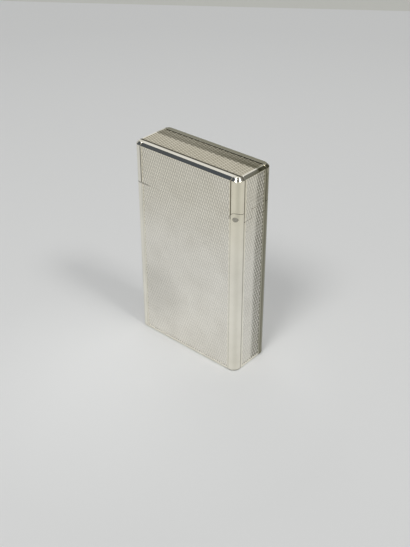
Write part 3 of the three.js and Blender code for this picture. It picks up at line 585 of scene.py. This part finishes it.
@dataclass(frozen=True)
class SilverFinish(MetalFinish):
    """Silver plate, which darkens and dulls in the shared places and in its pattern's valleys, by
    tarnish and dirt and by painted shade and painted reflection.
    """

    grime_and_shade_colour: Colour = (0.1, 0.09, 0.06)
    groove_grime_and_shade: float = 0.85
    groove_roughness: float = 0.5
    painted_rear_reflection: Colour = (0.125, 0.12, 0.06)
    high_colour: Colour = (0.85, 0.72, 0.35)
    high_tint: float = 0.0
    band_reflection_colour: Colour = (0.55, 0.53, 0.42)
    band_reflection_share: float = 0.0
    dull_colour: Colour = (0.5, 0.485, 0.44)
    dull_tarnish: float = 0.0
    valley: float = 0.0
    shoulder: float = 0.55
    rear_shoulder: float = 2.5
    widest_shoulder: float = 0.9
    depth: float = 0.47
    high_depth: float = 0.5
    highest_depth: float = 1.5
    rear_depth: float = 20.0
    deepest: float = 2.1

    def _marked_places(self, tree: Tree, colour: Socket, roughness: Socket) -> tuple[Socket, Socket]:
        """Darkens the shared places and the valleys of the pattern with tints, dirt, painted shade and
        painted reflections, and dulls the grooves.

        Args:
            tree: the material's tree.
            colour: the colour of clean silver.
            roughness: its roughness.

        Returns:
            The colour and the roughness.
        """
        places = tree.add("ShaderNodeGroup", node_tree=SilverPlaces().group()).outputs
        # High and Dull tint the silver; Band and Rear paint reflections of a darker band and of the dark
        # room.
        tints_and_shades = (
            ("High", self.high_tint, self.high_colour),
            ("Band", self.band_reflection_share, self.band_reflection_colour),
            ("Dull", self.dull_tarnish, self.dull_colour),
            ("Rear", 1.0, self.painted_rear_reflection),
        )
        for label, tarnish, tint_or_shade in tints_and_shades:
            if tarnish > 0.0:
                colour = tree.mix(tree.math("MULTIPLY", places[label], tarnish), colour, tint_or_shade)
        if self.valley > 0.0:
            grime_and_shade = self._valley_grime_and_shade(tree, places["High"], places["Rear"])
            colour = tree.mix(grime_and_shade, colour, self.grime_and_shade_colour)
        # Painted shade in the grooves, at the foot and at the seam's end, with some tarnish in the
        # grooves.
        grime_and_shade = tree.math("MULTIPLY", places["Groove"], self.groove_grime_and_shade)
        colour = tree.mix(grime_and_shade, colour, self.grime_and_shade_colour)
        return colour, tree.math("MULTIPLY_ADD", places["Groove"], self.groove_roughness, roughness)

    def _valley_grime_and_shade(self, tree: Tree, high: Socket, rear: Socket) -> Socket:
        """Paints shade with some dirt low in the pattern, wider and darker towards the cap and, as a
        painted reflection of the dark room, at the rear.

        Args:
            tree: the material's tree.
            high: the mask that rises towards the cap.
            rear: the mask of the rear parts.

        Returns:
            The share of the dark colour.
        """
        relief = tree.add("ShaderNodeAttribute", attribute_name=RELIEF).outputs["Fac"]
        shoulder = tree.math("MULTIPLY_ADD", rear, self.rear_shoulder, self.shoulder)
        shoulder = tree.math("MINIMUM", shoulder, self.widest_shoulder)
        low = tree.add(
            "ShaderNodeMapRange",
            {"Value": relief, "From Min": shoulder, "From Max": 0.0, "To Max": self.valley},
        )
        depth = tree.math("MULTIPLY_ADD", high, self.high_depth, self.depth)
        depth = tree.math("MINIMUM", depth, self.highest_depth)
        depth = tree.math("MAXIMUM", depth, tree.math("MULTIPLY", rear, self.rear_depth))
        return tree.math("MULTIPLY", low, tree.math("MINIMUM", depth, self.deepest))


@dataclass(frozen=True)
class RubberFinish(Finish):
    """Matt black rubber with a fine skin."""

    roughness: float = 0.62
    skin_mm: float = 0.15
    skin_height_mm: float = 0.004
    paler: float = 1.6

    def surface(self, tree: Tree) -> dict[str, object]:
        """Builds mottled rubber.

        Args:
            tree: the material's tree.

        Returns:
            What each of the shader's inputs gets.
        """
        place = tree.add("ShaderNodeTexCoord").outputs["Object"]
        skin = tree.add(
            "ShaderNodeTexNoise",
            {"Vector": place, "Scale": 1.0 / (self.skin_mm * MM), "Detail": 2.0},
        )
        pale = tuple(channel * self.paler for channel in self.colour)
        bump = tree.add("ShaderNodeBump", {"Height": skin, "Distance": self.skin_height_mm * MM})
        return {
            "Base Color": tree.mix(skin, self.colour, pale),
            "Roughness": self.roughness,
            "Normal": bump,
        }


POLISHED_SILVER = SilverFinish(
    "polished_silver", "silver_plate", (0.94, 0.91, 0.815), roughness=0.085, haze=0.05, tarnish=0.14,
    high_tint=0.22, band_reflection_share=0.42,
)
ENGRAVED_SILVER = SilverFinish(
    "engraved_silver", "silver_plate", (0.94, 0.915, 0.85), roughness=0.16, haze=0.05, tarnish=0.12,
    high_tint=0.13, dull_tarnish=0.28, valley=0.42,
)
PIN_STEEL = MetalFinish(
    "dulled_steel", "steel", (0.46, 0.44, 0.38), tarnish_colour=(0.16, 0.14, 0.11), roughness=0.45,
    haze=0.1, cloud_mm=1.0,
)
NICKEL = MetalFinish(
    "satin_nickel", "nickel_plate", (0.72, 0.69, 0.63), roughness=0.28, haze=0.1,
    grain_mm=(0.12, 1.2, 1.2), grain_height_mm=0.002,
)
BRASS = MetalFinish(
    "turned_brass", "brass", (0.78, 0.57, 0.27), tarnish_colour=(0.3, 0.19, 0.08), roughness=0.24,
    haze=0.12, grain_mm=(1.2, 1.2, 0.1), grain_height_mm=0.002, tarnish=0.3,
)
STEEL = MetalFinish(
    "brushed_steel", "steel", (0.56, 0.56, 0.57), tarnish_colour=(0.25, 0.22, 0.2), roughness=0.26,
    haze=0.1, grain_mm=(0.9, 0.1, 0.9), grain_height_mm=0.002,
)
DARK_STEEL = MetalFinish(
    "file_cut_steel", "hardened_steel", (0.23, 0.23, 0.24), tarnish_colour=(0.08, 0.07, 0.06),
    roughness=0.36, haze=0.15, tarnish=0.5, cloud_mm=1.5,
)
FLINT_ALLOY = MetalFinish(
    "flint_alloy", "flint_alloy", (0.16, 0.15, 0.14), tarnish_colour=(0.06, 0.05, 0.05),
    roughness=0.55, haze=0.2, tarnish=0.6, cloud_mm=0.8, grain_mm=(0.15, 0.15, 0.15),
    grain_height_mm=0.01,
)
RUBBER = RubberFinish("black_rubber", "rubber", (0.02, 0.02, 0.02))


def linked(name: str, data: bpy.types.ID) -> bpy.types.Object:
    """Puts a new object in the scene, at the origin.

    Args:
        name: the object's name.
        data: its mesh, camera or light.

    Returns:
        The new object.
    """
    made = bpy.data.objects.new(name, data)
    bpy.context.scene.collection.objects.link(made)
    return made


def body_of_node(node: str) -> str:
    """Finds the CAD body that a node rides on.

    Args:
        node: the CAD node.

    Returns:
        The body's name.
    """
    for name, nodes in frame["record"]["behaviour"]["bodies"].items():
        if node in nodes:
            return name
    raise ValueError(f"{node} is in no body")


def applied(piece: bpy.types.Object) -> bpy.types.Object:
    """Turns a piece with modifiers into a plain mesh.

    Args:
        piece: the object, whose modifiers are evaluated and then removed.

    Returns:
        The same object with its final mesh.
    """
    graph = bpy.context.evaluated_depsgraph_get()
    final = bpy.data.meshes.new_from_object(
        piece.evaluated_get(graph), preserve_all_data_layers=True, depsgraph=graph
    )
    final.name = piece.name
    piece.modifiers.clear()
    piece.data = final
    return piece


def place_piece(mesh: bpy.types.Mesh, name: str, finish: Finish) -> bpy.types.Object:
    """Makes a piece at the origin from a mesh that is already in place.

    Args:
        mesh: the mesh, in the frame.
        name: the piece's name.
        finish: its finish.

    Returns:
        The new object.
    """
    mesh.materials.clear()
    mesh.materials.append(finish.material())
    return linked(name, mesh)


def attach(piece: bpy.types.Object, body: str, nodes: Iterable[str] = ()) -> None:
    """Hangs a finished piece on its CAD body and hides the CAD nodes that it stands for.

    Args:
        piece: the finished piece.
        body: the CAD body that it rides on.
        nodes: the CAD nodes that it stands for.
    """
    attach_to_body(piece, body)
    replaced = list(nodes)
    if replaced:
        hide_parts(*replaced)
    log.info("%s rides on %s with %d faces", piece.name, body, len(piece.data.polygons))


def softened(node: str, finish: Finish, edge_mm: float) -> bpy.types.Object:
    """Stands in for a CAD node with the same shape and fine rounded edges that catch the light.

    Args:
        node: the CAD node.
        finish: its finish.
        edge_mm: the width of the rounding, or nought for none.

    Returns:
        The piece that replaces the node.
    """
    mesh = frame["nodes"][node].data.copy()
    shape = bmesh.new()
    shape.from_mesh(mesh)
    bmesh.ops.remove_doubles(shape, verts=shape.verts, dist=WELD_MM * MM)
    bmesh.ops.dissolve_limit(
        shape, angle_limit=math.radians(FLAT_DEG), verts=shape.verts, edges=shape.edges
    )
    for face in shape.faces:
        face.smooth = True
    shape.to_mesh(mesh)
    shape.free()
    mesh.set_sharp_from_angle(angle=math.radians(SHARP_DEG))
    piece = place_piece(mesh, f"{node}_dressed", finish)
    if edge_mm > 0.0:
        bevel = piece.modifiers.new("edge", "BEVEL")
        bevel.width = edge_mm * MM
        bevel.segments = EDGE_SEGMENTS
        bevel.limit_method = "ANGLE"
        bevel.angle_limit = math.radians(SHARP_DEG)
        bevel.harden_normals = True
        bevel.use_clamp_overlap = True
        applied(piece)
    attach(piece, body_of_node(node), [node])
    return piece


def dressed(node: str, finish: Finish) -> None:
    """Gives a CAD node that keeps its own mesh a finish.

    Args:
        node: the CAD node.
        finish: its finish.
    """
    target = frame["nodes"][node]
    target.data.materials.clear()
    target.data.materials.append(finish.material())
    log.info("%s keeps its mesh, in %s", node, finish.name)


class Side(Enum):
    """The faces of the lighter that carry the engine-turned pattern."""

    FRONT = "front"
    BACK = "back"
    HINGE = "hinge"
    THUMB = "thumb"
    ROOF = "roof"

    def placed(self, level: float) -> Matrix:
        """How a field drawn flat in X and Y, with its relief up, lies on this face.

        Args:
            level: the distance of the field's floor from the origin along the face's normal, in metres.

        Returns:
            The matrix from the flat drawing to the frame.
        """
        across_up_out = {
            Side.FRONT: ((1, 0, 0), (0, 0, 1), (0, -1, 0)),
            Side.BACK: ((-1, 0, 0), (0, 0, 1), (0, 1, 0)),
            Side.HINGE: ((0, 1, 0), (0, 0, 1), (1, 0, 0)),
            Side.THUMB: ((0, -1, 0), (0, 0, 1), (-1, 0, 0)),
            Side.ROOF: ((0, 1, 0), (-1, 0, 0), (0, 0, 1)),
        }[self]
        turn = Matrix([Vector(axis) for axis in across_up_out]).transposed().to_4x4()
        return Matrix.Translation(Vector(across_up_out[2]) * level) @ turn


@dataclass(frozen=True)
class Field:
    """One rectangle of the pattern, in millimetres across and along its face."""

    side: Side
    across: tuple[float, float]
    along: tuple[float, float]


@dataclass(frozen=True)
class Engraving:
    """The engine-turned pattern of small pointed diamonds, cut in the sunk fields."""

    pitch_across: float = 0.79
    pitch_along: float = 1.97
    field_depth: float = 0.12
    floor_gap: float = 0.004
    crown_share: float = 0.16

    def level(self, side: Side) -> float:
        """The distance of a face's sunk floor from the origin, in millimetres."""
        outer = {Side.HINGE: HALF_WIDTH, Side.THUMB: HALF_WIDTH, Side.ROOF: HEIGHT}
        return outer.get(side, HALF_DEPTH) - self.field_depth + self.floor_gap

    def tree(self) -> Tree:
        """Builds the tree that sets one diamond on every second point of a lattice.

        Returns:
            The wrapped geometry tree.
        """
        name = "diamond_field"
        if name in bpy.data.node_groups:
            return Tree(bpy.data.node_groups[name])
        tree = new_group(
            name,
            "GeometryNodeTree",
            [
                ("Columns", "NodeSocketInt", 10),
                ("Rows", "NodeSocketInt", 10),
                ("First", "NodeSocketInt", 0),
                ("Pitch Across", "NodeSocketFloat", 0.001),
                ("Pitch Along", "NodeSocketFloat", 0.002),
                ("Relief", "NodeSocketFloat", 0.0001),
                ("Crown", "NodeSocketFloat", 0.1),
                ("Material", "NodeSocketMaterial", None),
            ],
            [("Geometry", "NodeSocketGeometry")],
        )
        given = tree.add("NodeGroupInput").outputs
        step_across = tree.math("DIVIDE", given["Pitch Across"], 2.0)
        step_along = tree.math("DIVIDE", given["Pitch Along"], 2.0)
        last_column = tree.math("SUBTRACT", given["Columns"], 1.0)
        last_row = tree.math("SUBTRACT", given["Rows"], 1.0)
        lattice = tree.add(
            "GeometryNodeMeshGrid",
            {
                "Size X": tree.math("MULTIPLY", last_column, step_across),
                "Size Y": tree.math("MULTIPLY", last_row, step_along),
                "Vertices X": given["Columns"],
                "Vertices Y": given["Rows"],
            },
        )
        index = tree.add("GeometryNodeInputIndex")
        column = tree.math("FLOOR", tree.math("DIVIDE", tree.math("ADD", index, 0.5), given["Rows"]))
        row = tree.math("SUBTRACT", index, tree.math("MULTIPLY", column, given["Rows"]))
        count = tree.math("ADD", tree.math("ADD", column, row), given["First"])
        even = tree.math("LESS_THAN", tree.math("MODULO", tree.math("ADD", count, 0.25), 2.0), 1.0)
        points = tree.add("GeometryNodeMeshToPoints", {"Mesh": lattice, "Selection": even})
        diamond = tree.add(
            "GeometryNodeMeshCone",
            {"Vertices": 4, "Radius Top": given["Crown"], "Radius Bottom": 1.0, "Depth": 1.0},
        )
        spot = tree.add("GeometryNodeInputPosition")
        rise = tree.add("ShaderNodeSeparateXYZ", {0: spot}).outputs["Z"]
        marked = tree.add(
            "GeometryNodeStoreNamedAttribute",
            {"Geometry": diamond, "Name": RELIEF, "Value": rise},
            data_type="FLOAT",
            domain="POINT",
        )
        size = tree.add(
            "ShaderNodeCombineXYZ", {"X": step_across, "Y": step_along, "Z": given["Relief"]}
        )
        studs = tree.add(
            "GeometryNodeInstanceOnPoints", {"Points": points, "Instance": marked, "Scale": size}
        )
        real = tree.add("GeometryNodeRealizeInstances", {"Geometry": studs})
        painted = tree.add(
            "GeometryNodeSetMaterial", {"Geometry": real, "Material": given["Material"]}
        )
        tree.add("NodeGroupOutput", {"Geometry": painted})
        return tree

    def lattice(self, span: tuple[float, float], pitch: float) -> tuple[int, int]:
        """The first and last step of half a pitch whose diamonds reach into a field's span."""
        half = pitch / 2.0
        return math.floor(span[0] / half), math.ceil(span[1] / half)

    def field_mesh(self, field: Field, finish: Finish) -> bpy.types.Mesh:
        """Makes the diamonds of one field in their place.

        Args:
            field: the field.
            finish: the finish of the pattern.

        Returns:
            The mesh in the frame.
        """
        first_column, last_column = self.lattice(field.across, self.pitch_across)
        first_row, last_row = self.lattice(field.along, self.pitch_along)
        holder = linked("field", bpy.data.meshes.new("field"))
        group = self.tree().tree
        modifier = holder.modifiers.new("diamonds", "NODES")
        modifier.node_group = group
        values = {
            "Columns": last_column - first_column + 1,
            "Rows": last_row - first_row + 1,
            "First": (first_column + first_row) % 2,
            "Pitch Across": self.pitch_across * MM,
            "Pitch Along": self.pitch_along * MM,
            "Relief": (self.field_depth - 2 * self.floor_gap) * MM,
            "Crown": self.crown_share,
            "Material": finish.material(),
        }
        for item in group.interface.items_tree:
            if item.in_out == "INPUT":
                modifier[item.identifier] = values[item.name]
        mesh = applied(holder).data
        bpy.data.objects.remove(holder)
        middle = Vector((
            (first_column + last_column) * self.pitch_across / 4.0,
            (first_row + last_row) * self.pitch_along / 4.0,
            0.0,
        ))
        mesh.transform(Matrix.Translation(middle * MM))
        self.trim(mesh, field)
        mesh.transform(field.side.placed(self.level(field.side) * MM))
        return mesh

    def trim(self, mesh: bpy.types.Mesh, field: Field) -> None:
        """Cuts the diamonds off at the field's four edges and closes the cuts.

        Args:
            mesh: the diamonds, still flat.
            field: the field.
        """
        shape = bmesh.new()
        shape.from_mesh(mesh)
        low_across, high_across = field.across
        low_along, high_along = field.along
        cuts = [
            (mm(low_across, 0, 0), (-1, 0, 0)),
            (mm(high_across, 0, 0), (1, 0, 0)),
            (mm(0, low_along, 0), (0, -1, 0)),
            (mm(0, high_along, 0), (0, 1, 0)),
        ]
        for point, outward in cuts:
            found = bmesh.ops.bisect_plane(
                shape,
                geom=[*shape.verts, *shape.edges, *shape.faces],
                dist=CUT_TOLERANCE,
                plane_co=point,
                plane_no=outward,
                clear_outer=True,
            )
            rims = [item for item in found["geom_cut"] if isinstance(item, bmesh.types.BMEdge)]
            bmesh.ops.holes_fill(shape, edges=rims, sides=0)
        loose = [vert for vert in shape.verts if not vert.link_faces]
        bmesh.ops.delete(shape, geom=loose, context="VERTS")
        shape.to_mesh(mesh)
        shape.free()

    def piece(self, name: str, body: str, fields: Sequence[Field], finish: Finish) -> None:
        """Joins the fields that ride on one body into one piece.

        Args:
            name: the piece's name.
            body: the CAD body that it rides on.
            fields: its fields.
            finish: the finish of the pattern.
        """
        joined = bmesh.new()
        for field in fields:
            joined.from_mesh(self.field_mesh(field, finish))
        mesh = bpy.data.meshes.new(name)
        joined.to_mesh(mesh)
        joined.free()
        piece = place_piece(mesh, name, finish)
        attach(piece, body)


@dataclass
class Shells:
    """The case, the cap and the pattern on them."""

    engraving: Engraving = Engraving()
    front_margin: float = 2.8
    side_margin: float = 3.1
    base_margin: float = 1.0
    seam: tuple[float, float] = (45.994, 46.006)
    cap_field_top: float = 56.18
    hinge_pocket_floor: float = 44.88
    knuckle_top: float = 47.39
    knuckle_floor: float = 45.01
    web_floor: float = 47.52
    centre_knuckle: tuple[float, float] = (-1.0, 2.0)
    roof_end: float = 16.05
    roof_side: float = 4.15
    side_gap: float = 0.08
    edge: float = 0.03

    def build(self) -> None:
        """Builds the shells and their pattern."""
        softened("body_case", POLISHED_SILVER, self.edge)
        softened("cap_shell", POLISHED_SILVER, self.edge)
        front = HALF_WIDTH - self.front_margin
        side = HALF_DEPTH - self.side_margin
        knuckle_start, knuckle_end = self.centre_knuckle
        wide = (-front, front)
        narrow = (-side, side)
        body = (self.base_margin, self.seam[0])
        cap = (self.seam[1], self.cap_field_top)
        self.engraving.piece("case_engraving", "case", [
            Field(Side.FRONT, wide, body),
            Field(Side.BACK, wide, body),
            Field(Side.THUMB, narrow, body),
            Field(Side.HINGE, narrow, (self.base_margin, self.hinge_pocket_floor)),
            Field(Side.HINGE, self.centre_knuckle, (self.hinge_pocket_floor, self.knuckle_top)),
        ], ENGRAVED_SILVER)
        self.engraving.piece("cap_engraving", "cap", [
            Field(Side.FRONT, wide, cap),
            Field(Side.BACK, wide, cap),
            Field(Side.THUMB, narrow, cap),
            Field(Side.HINGE, narrow, (self.web_floor, self.cap_field_top)),
            Field(Side.HINGE, (-side, knuckle_start - self.side_gap),
                  (self.knuckle_floor, self.web_floor)),
            Field(Side.HINGE, (knuckle_end + self.side_gap, side),
                  (self.knuckle_floor, self.web_floor)),
            Field(Side.ROOF, (-self.roof_side, self.roof_side), (-self.roof_end, self.roof_end)),
        ], ENGRAVED_SILVER)


@dataclass
class Works:
    """Everything inside the cap and the case, and the two screws under the base."""

    edge: float = 0.06
    flint_spring_foot: tuple[float, float, float] = (-12.6, 0.0, 4.7)
    flint_travel: float = 2.0

    def build(self) -> None:
        """Finishes each piece."""
        softened_pieces: dict[str, Finish] = {
            "hinge_pin": PIN_STEEL,
            "cap_liner": NICKEL,
            "cap_presser": STEEL,
            "base_plate": NICKEL,
            "top_deck": NICKEL,
            "wind_guard": NICKEL,
            "lever_bracket": NICKEL,
            "roller_yoke": NICKEL,
            "valve_lever": STEEL,
            "lever_pin": STEEL,
            "roller_axle": STEEL,
            "burner_valve": BRASS,
            "burner_jet": BRASS,
            "flame_adjuster": BRASS,
            "filler_screw": BRASS,
            "flint_screw": BRASS,
            "bracket_screw_front": STEEL,
            "bracket_screw_rear": STEEL,
            "yoke_screw_front": STEEL,
            "yoke_screw_rear": STEEL,
            "thumb_roller_front": STEEL,
            "thumb_roller_rear": STEEL,
            "flint_wheel": DARK_STEEL,
            "flint": FLINT_ALLOY,
        }
        for node, finish in softened_pieces.items():
            softened(node, finish, self.edge)
        plain_pieces: dict[str, Finish] = {
            "fuel_tank": BRASS,
            "filler_valve": BRASS,
            "filler_gasket": RUBBER,
            "flint_washer": RUBBER,
            "flint_tube": BRASS,
            "flint_follower": BRASS,
            "valve_seal": RUBBER,
            "jet_spring": STEEL,
            "lever_spring": STEEL,
            "snap_leaf": STEEL,
            "leaf_rivet": BRASS,
        }
        for node, finish in plain_pieces.items():
            dressed(node, finish)
        self._flint_spring()

    def _flint_spring(self) -> None:
        """Makes the flint's coil spring from its CAD node, in steel, with a mesh of its own."""
        spring = softened("flint_spring", STEEL, 0.0)
        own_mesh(spring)


@dataclass(frozen=True)
class Patch:
    """A round soft-edged patch of the room, seen in polished metal."""

    way: tuple[float, float, float]
    inner_deg: float
    outer_deg: float
    colour: Colour


@dataclass(frozen=True)
class Lamp:
    """A soft lamp, placed by the way from the lighter to it."""

    name: str
    way: tuple[float, float, float]
    distance_m: float
    size_m: float
    watts: float
    colour: Colour = (1.0, 0.985, 0.96)


@dataclass
class Studio:
    """The pale table, the room's light round it and the camera."""

    camera_mm: tuple[float, float, float] = (132.065, -150.326, 150.440)
    azimuth_deg: float = 41.05
    elevation_deg: float = 32.88
    roll_deg: float = -0.1
    lens_mm: float = 58.36
    clip_m: tuple[float, float] = (0.01, 10.0)
    table_colour: Colour = (0.8, 0.81, 0.815)
    table_turn_deg: float = 35.8
    table_edge_m: float = 0.32
    table_reach_m: float = 3.0
    bench_colour: Colour = (0.63, 0.635, 0.6)
    bench_reach_m: float = 4.0
    bench_level_m: float = -0.002
    surface_roughness: float = 0.65
    surface_specular: float = 0.15
    # The painted pool of light on the table: its brightest spot, its reach, and the colour's factor at
    # each share of the reach.
    glow_mm: tuple[float, float] = (2.0, -24.0)
    glow_reach_m: float = 0.4
    glow: tuple[tuple[float, float], ...] = (
        (0.0, 1.13), (0.05, 1.1), (0.13, 1.02), (0.28, 0.99), (0.5, 0.95), (0.75, 0.895),
    )
    room_heights: tuple[tuple[float, Colour], ...] = (
        (0.0, (0.32, 0.325, 0.31)),
        (0.3, (0.46, 0.465, 0.46)),
        (0.5, (0.58, 0.585, 0.59)),
        (0.72, (0.6, 0.605, 0.61)),
        (0.88, (0.46, 0.465, 0.47)),
    )
    patches: tuple[Patch, ...] = (
        Patch((-0.6, 0.66, 0.45), 24.0, 56.0, (0.76, 0.755, 0.74)),
        Patch((-0.55, -0.54, 0.63), 16.0, 32.0, (0.07, 0.081, 0.098)),
        Patch((-0.85, -0.15, 0.5), 16.0, 32.0, (0.08, 0.088, 0.1)),
        Patch((0.54, 0.63, 0.55), 14.0, 30.0, (0.17, 0.17, 0.155)),
        Patch((0.17, 0.93, 0.33), 14.0, 30.0, (0.13, 0.128, 0.1)),
        Patch((0.425, -0.342, 0.838), 7.0, 13.0, (0.13, 0.13, 0.12)),
    )
    lamp_target_mm: tuple[float, float, float] = (0.0, 0.0, 25.0)
    lamps: tuple[Lamp, ...] = (
        Lamp("left_lamp", (0.1, -0.57, 0.8), 2.5, 0.8, 17.5),
        Lamp("right_lamp", (0.61, -0.02, 0.79), 2.5, 0.55, 11.0),
    )

    def build(self) -> None:
        """Makes the table, the light and the camera."""
        bpy.context.scene.view_settings.view_transform = "Standard"
        self._camera()
        reach = self.bench_reach_m
        self._plane("bench", reach, reach, self.bench_level_m, self.bench_colour)
        table = self._plane(
            "pale_table", self.table_edge_m, self.table_reach_m, 0.0, self.table_colour
        )
        self._painted_glow(table, self.table_colour)
        self._world()
        self._lamps()

    def _camera(self) -> None:
        """Sets the camera where the photograph was taken from."""
        data = bpy.data.cameras.new("camera")
        data.lens = self.lens_mm
        data.clip_start, data.clip_end = self.clip_m
        camera = linked("camera", data)
        azimuth, elevation = math.radians(self.azimuth_deg), math.radians(self.elevation_deg)
        back = Vector((
            math.sin(azimuth) * math.cos(elevation),
            -math.cos(azimuth) * math.cos(elevation),
            math.sin(elevation),
        ))
        look = (-back).to_track_quat("-Z", "Y")
        roll = Quaternion((0.0, 0.0, 1.0), math.radians(self.roll_deg))
        camera.location = mm(*self.camera_mm)
        camera.rotation_euler = (look @ roll).to_euler()
        bpy.context.scene.camera = camera

    def _plane(
        self, name: str, far_m: float, wide_m: float, level_m: float, colour: Colour
    ) -> bpy.types.NodeTree:
        """Lays a flat pale surface whose far edge is turned as the photograph's table is.

        Args:
            name: the surface's name.
            far_m: how far its far edge is from the lighter.
            wide_m: how far it reaches to the other three sides.
            level_m: its height.
            colour: its colour.

        Returns:
            The node tree of its material.
        """
        corners = [(-wide_m, -wide_m), (wide_m, -wide_m), (wide_m, far_m), (-wide_m, far_m)]
        mesh = bpy.data.meshes.new(name)
        mesh.from_pydata([(x, y, level_m) for x, y in corners], [], [(0, 1, 2, 3)])
        mesh.transform(Matrix.Rotation(math.radians(self.table_turn_deg), 4, "Z"))
        made = bpy.data.materials.new(name)
        made.use_nodes = True
        shader = made.node_tree.nodes["Principled BSDF"]
        shader.inputs["Base Color"].default_value = (*colour, 1.0)
        shader.inputs["Roughness"].default_value = self.surface_roughness
        shader.inputs["Specular IOR Level"].default_value = self.surface_specular
        mesh.materials.append(made)
        linked(name, mesh)
        return made.node_tree

    def _painted_glow(self, nodes: bpy.types.NodeTree, colour: Colour) -> None:
        """Paints a pool of light on the table: its colour falls off with the distance from the brightest
        spot in front.

        Args:
            nodes: the table's material tree.
            colour: the table's plain colour.
        """
        tree = Tree(nodes)
        place = tree.add("ShaderNodeTexCoord").outputs["Object"]
        away = tree.add(
            "ShaderNodeVectorMath", {0: place, 1: mm(*self.glow_mm, 0.0)}, operation="DISTANCE"
        )
        share = tree.math("DIVIDE", away.outputs["Value"], self.glow_reach_m)
        stops = [(level, tuple(channel * factor for channel in colour)) for level, factor in self.glow]
        shader = nodes.nodes["Principled BSDF"]
        nodes.links.new(tree.colour_ramp(share, stops), shader.inputs["Base Color"])

    def _world(self) -> None:
        """Makes the room's light: a tone for each height, with darker patches that bevels show."""
        world = bpy.data.worlds.new("room")
        bpy.context.scene.world = world
        world.use_nodes = True
        world.node_tree.nodes.clear()
        tree = Tree(world.node_tree)
        way = tree.add("ShaderNodeTexCoord").outputs["Generated"]
        height = tree.add("ShaderNodeSeparateXYZ", {0: way}).outputs["Z"]
        seen = tree.colour_ramp(height, self.room_heights)
        for patch in self.patches:
            seen = self._patched(tree, way, seen, patch)
        background = tree.add("ShaderNodeBackground", {"Color": seen, "Strength": 1.0})
        tree.add("ShaderNodeOutputWorld", {"Surface": background})

    def _patched(self, tree: Tree, way: Socket, seen: Socket, patch: Patch) -> Socket:
        """Lays one patch over the room's colour.

        Args:
            tree: the world's tree.
            way: the direction looked in.
            seen: the colour so far.
            patch: the patch.

        Returns:
            The colour with the patch.
        """
        middle = Vector(patch.way).normalized()
        facing = tree.add(
            "ShaderNodeVectorMath", {0: way, 1: middle}, operation="DOT_PRODUCT"
        ).outputs["Value"]
        outer = math.cos(math.radians(patch.outer_deg))
        inner = math.cos(math.radians(patch.inner_deg))
        return tree.mix(tree.smooth(facing, outer, inner), seen, patch.colour)

    def _lamps(self) -> None:
        """Hangs the soft lamps."""
        target = mm(*self.lamp_target_mm)
        for lamp in self.lamps:
            data = bpy.data.lights.new(lamp.name, "AREA")
            data.shape = "DISK"
            data.size = lamp.size_m
            data.energy = lamp.watts
            data.color = lamp.colour
            holder = linked(lamp.name, data)
            holder.location = target + Vector(lamp.way).normalized() * lamp.distance_m
            holder.rotation_euler = (target - holder.location).to_track_quat("-Z", "Y").to_euler()


def main() -> None:
    """Builds the lighter's looks, then the table and the light."""
    logging.basicConfig(level=logging.INFO, format="%(name)s: %(message)s")
    Studio().build()
    Shells().build()
    Works().build()


if __name__ == "__main__":
    main()
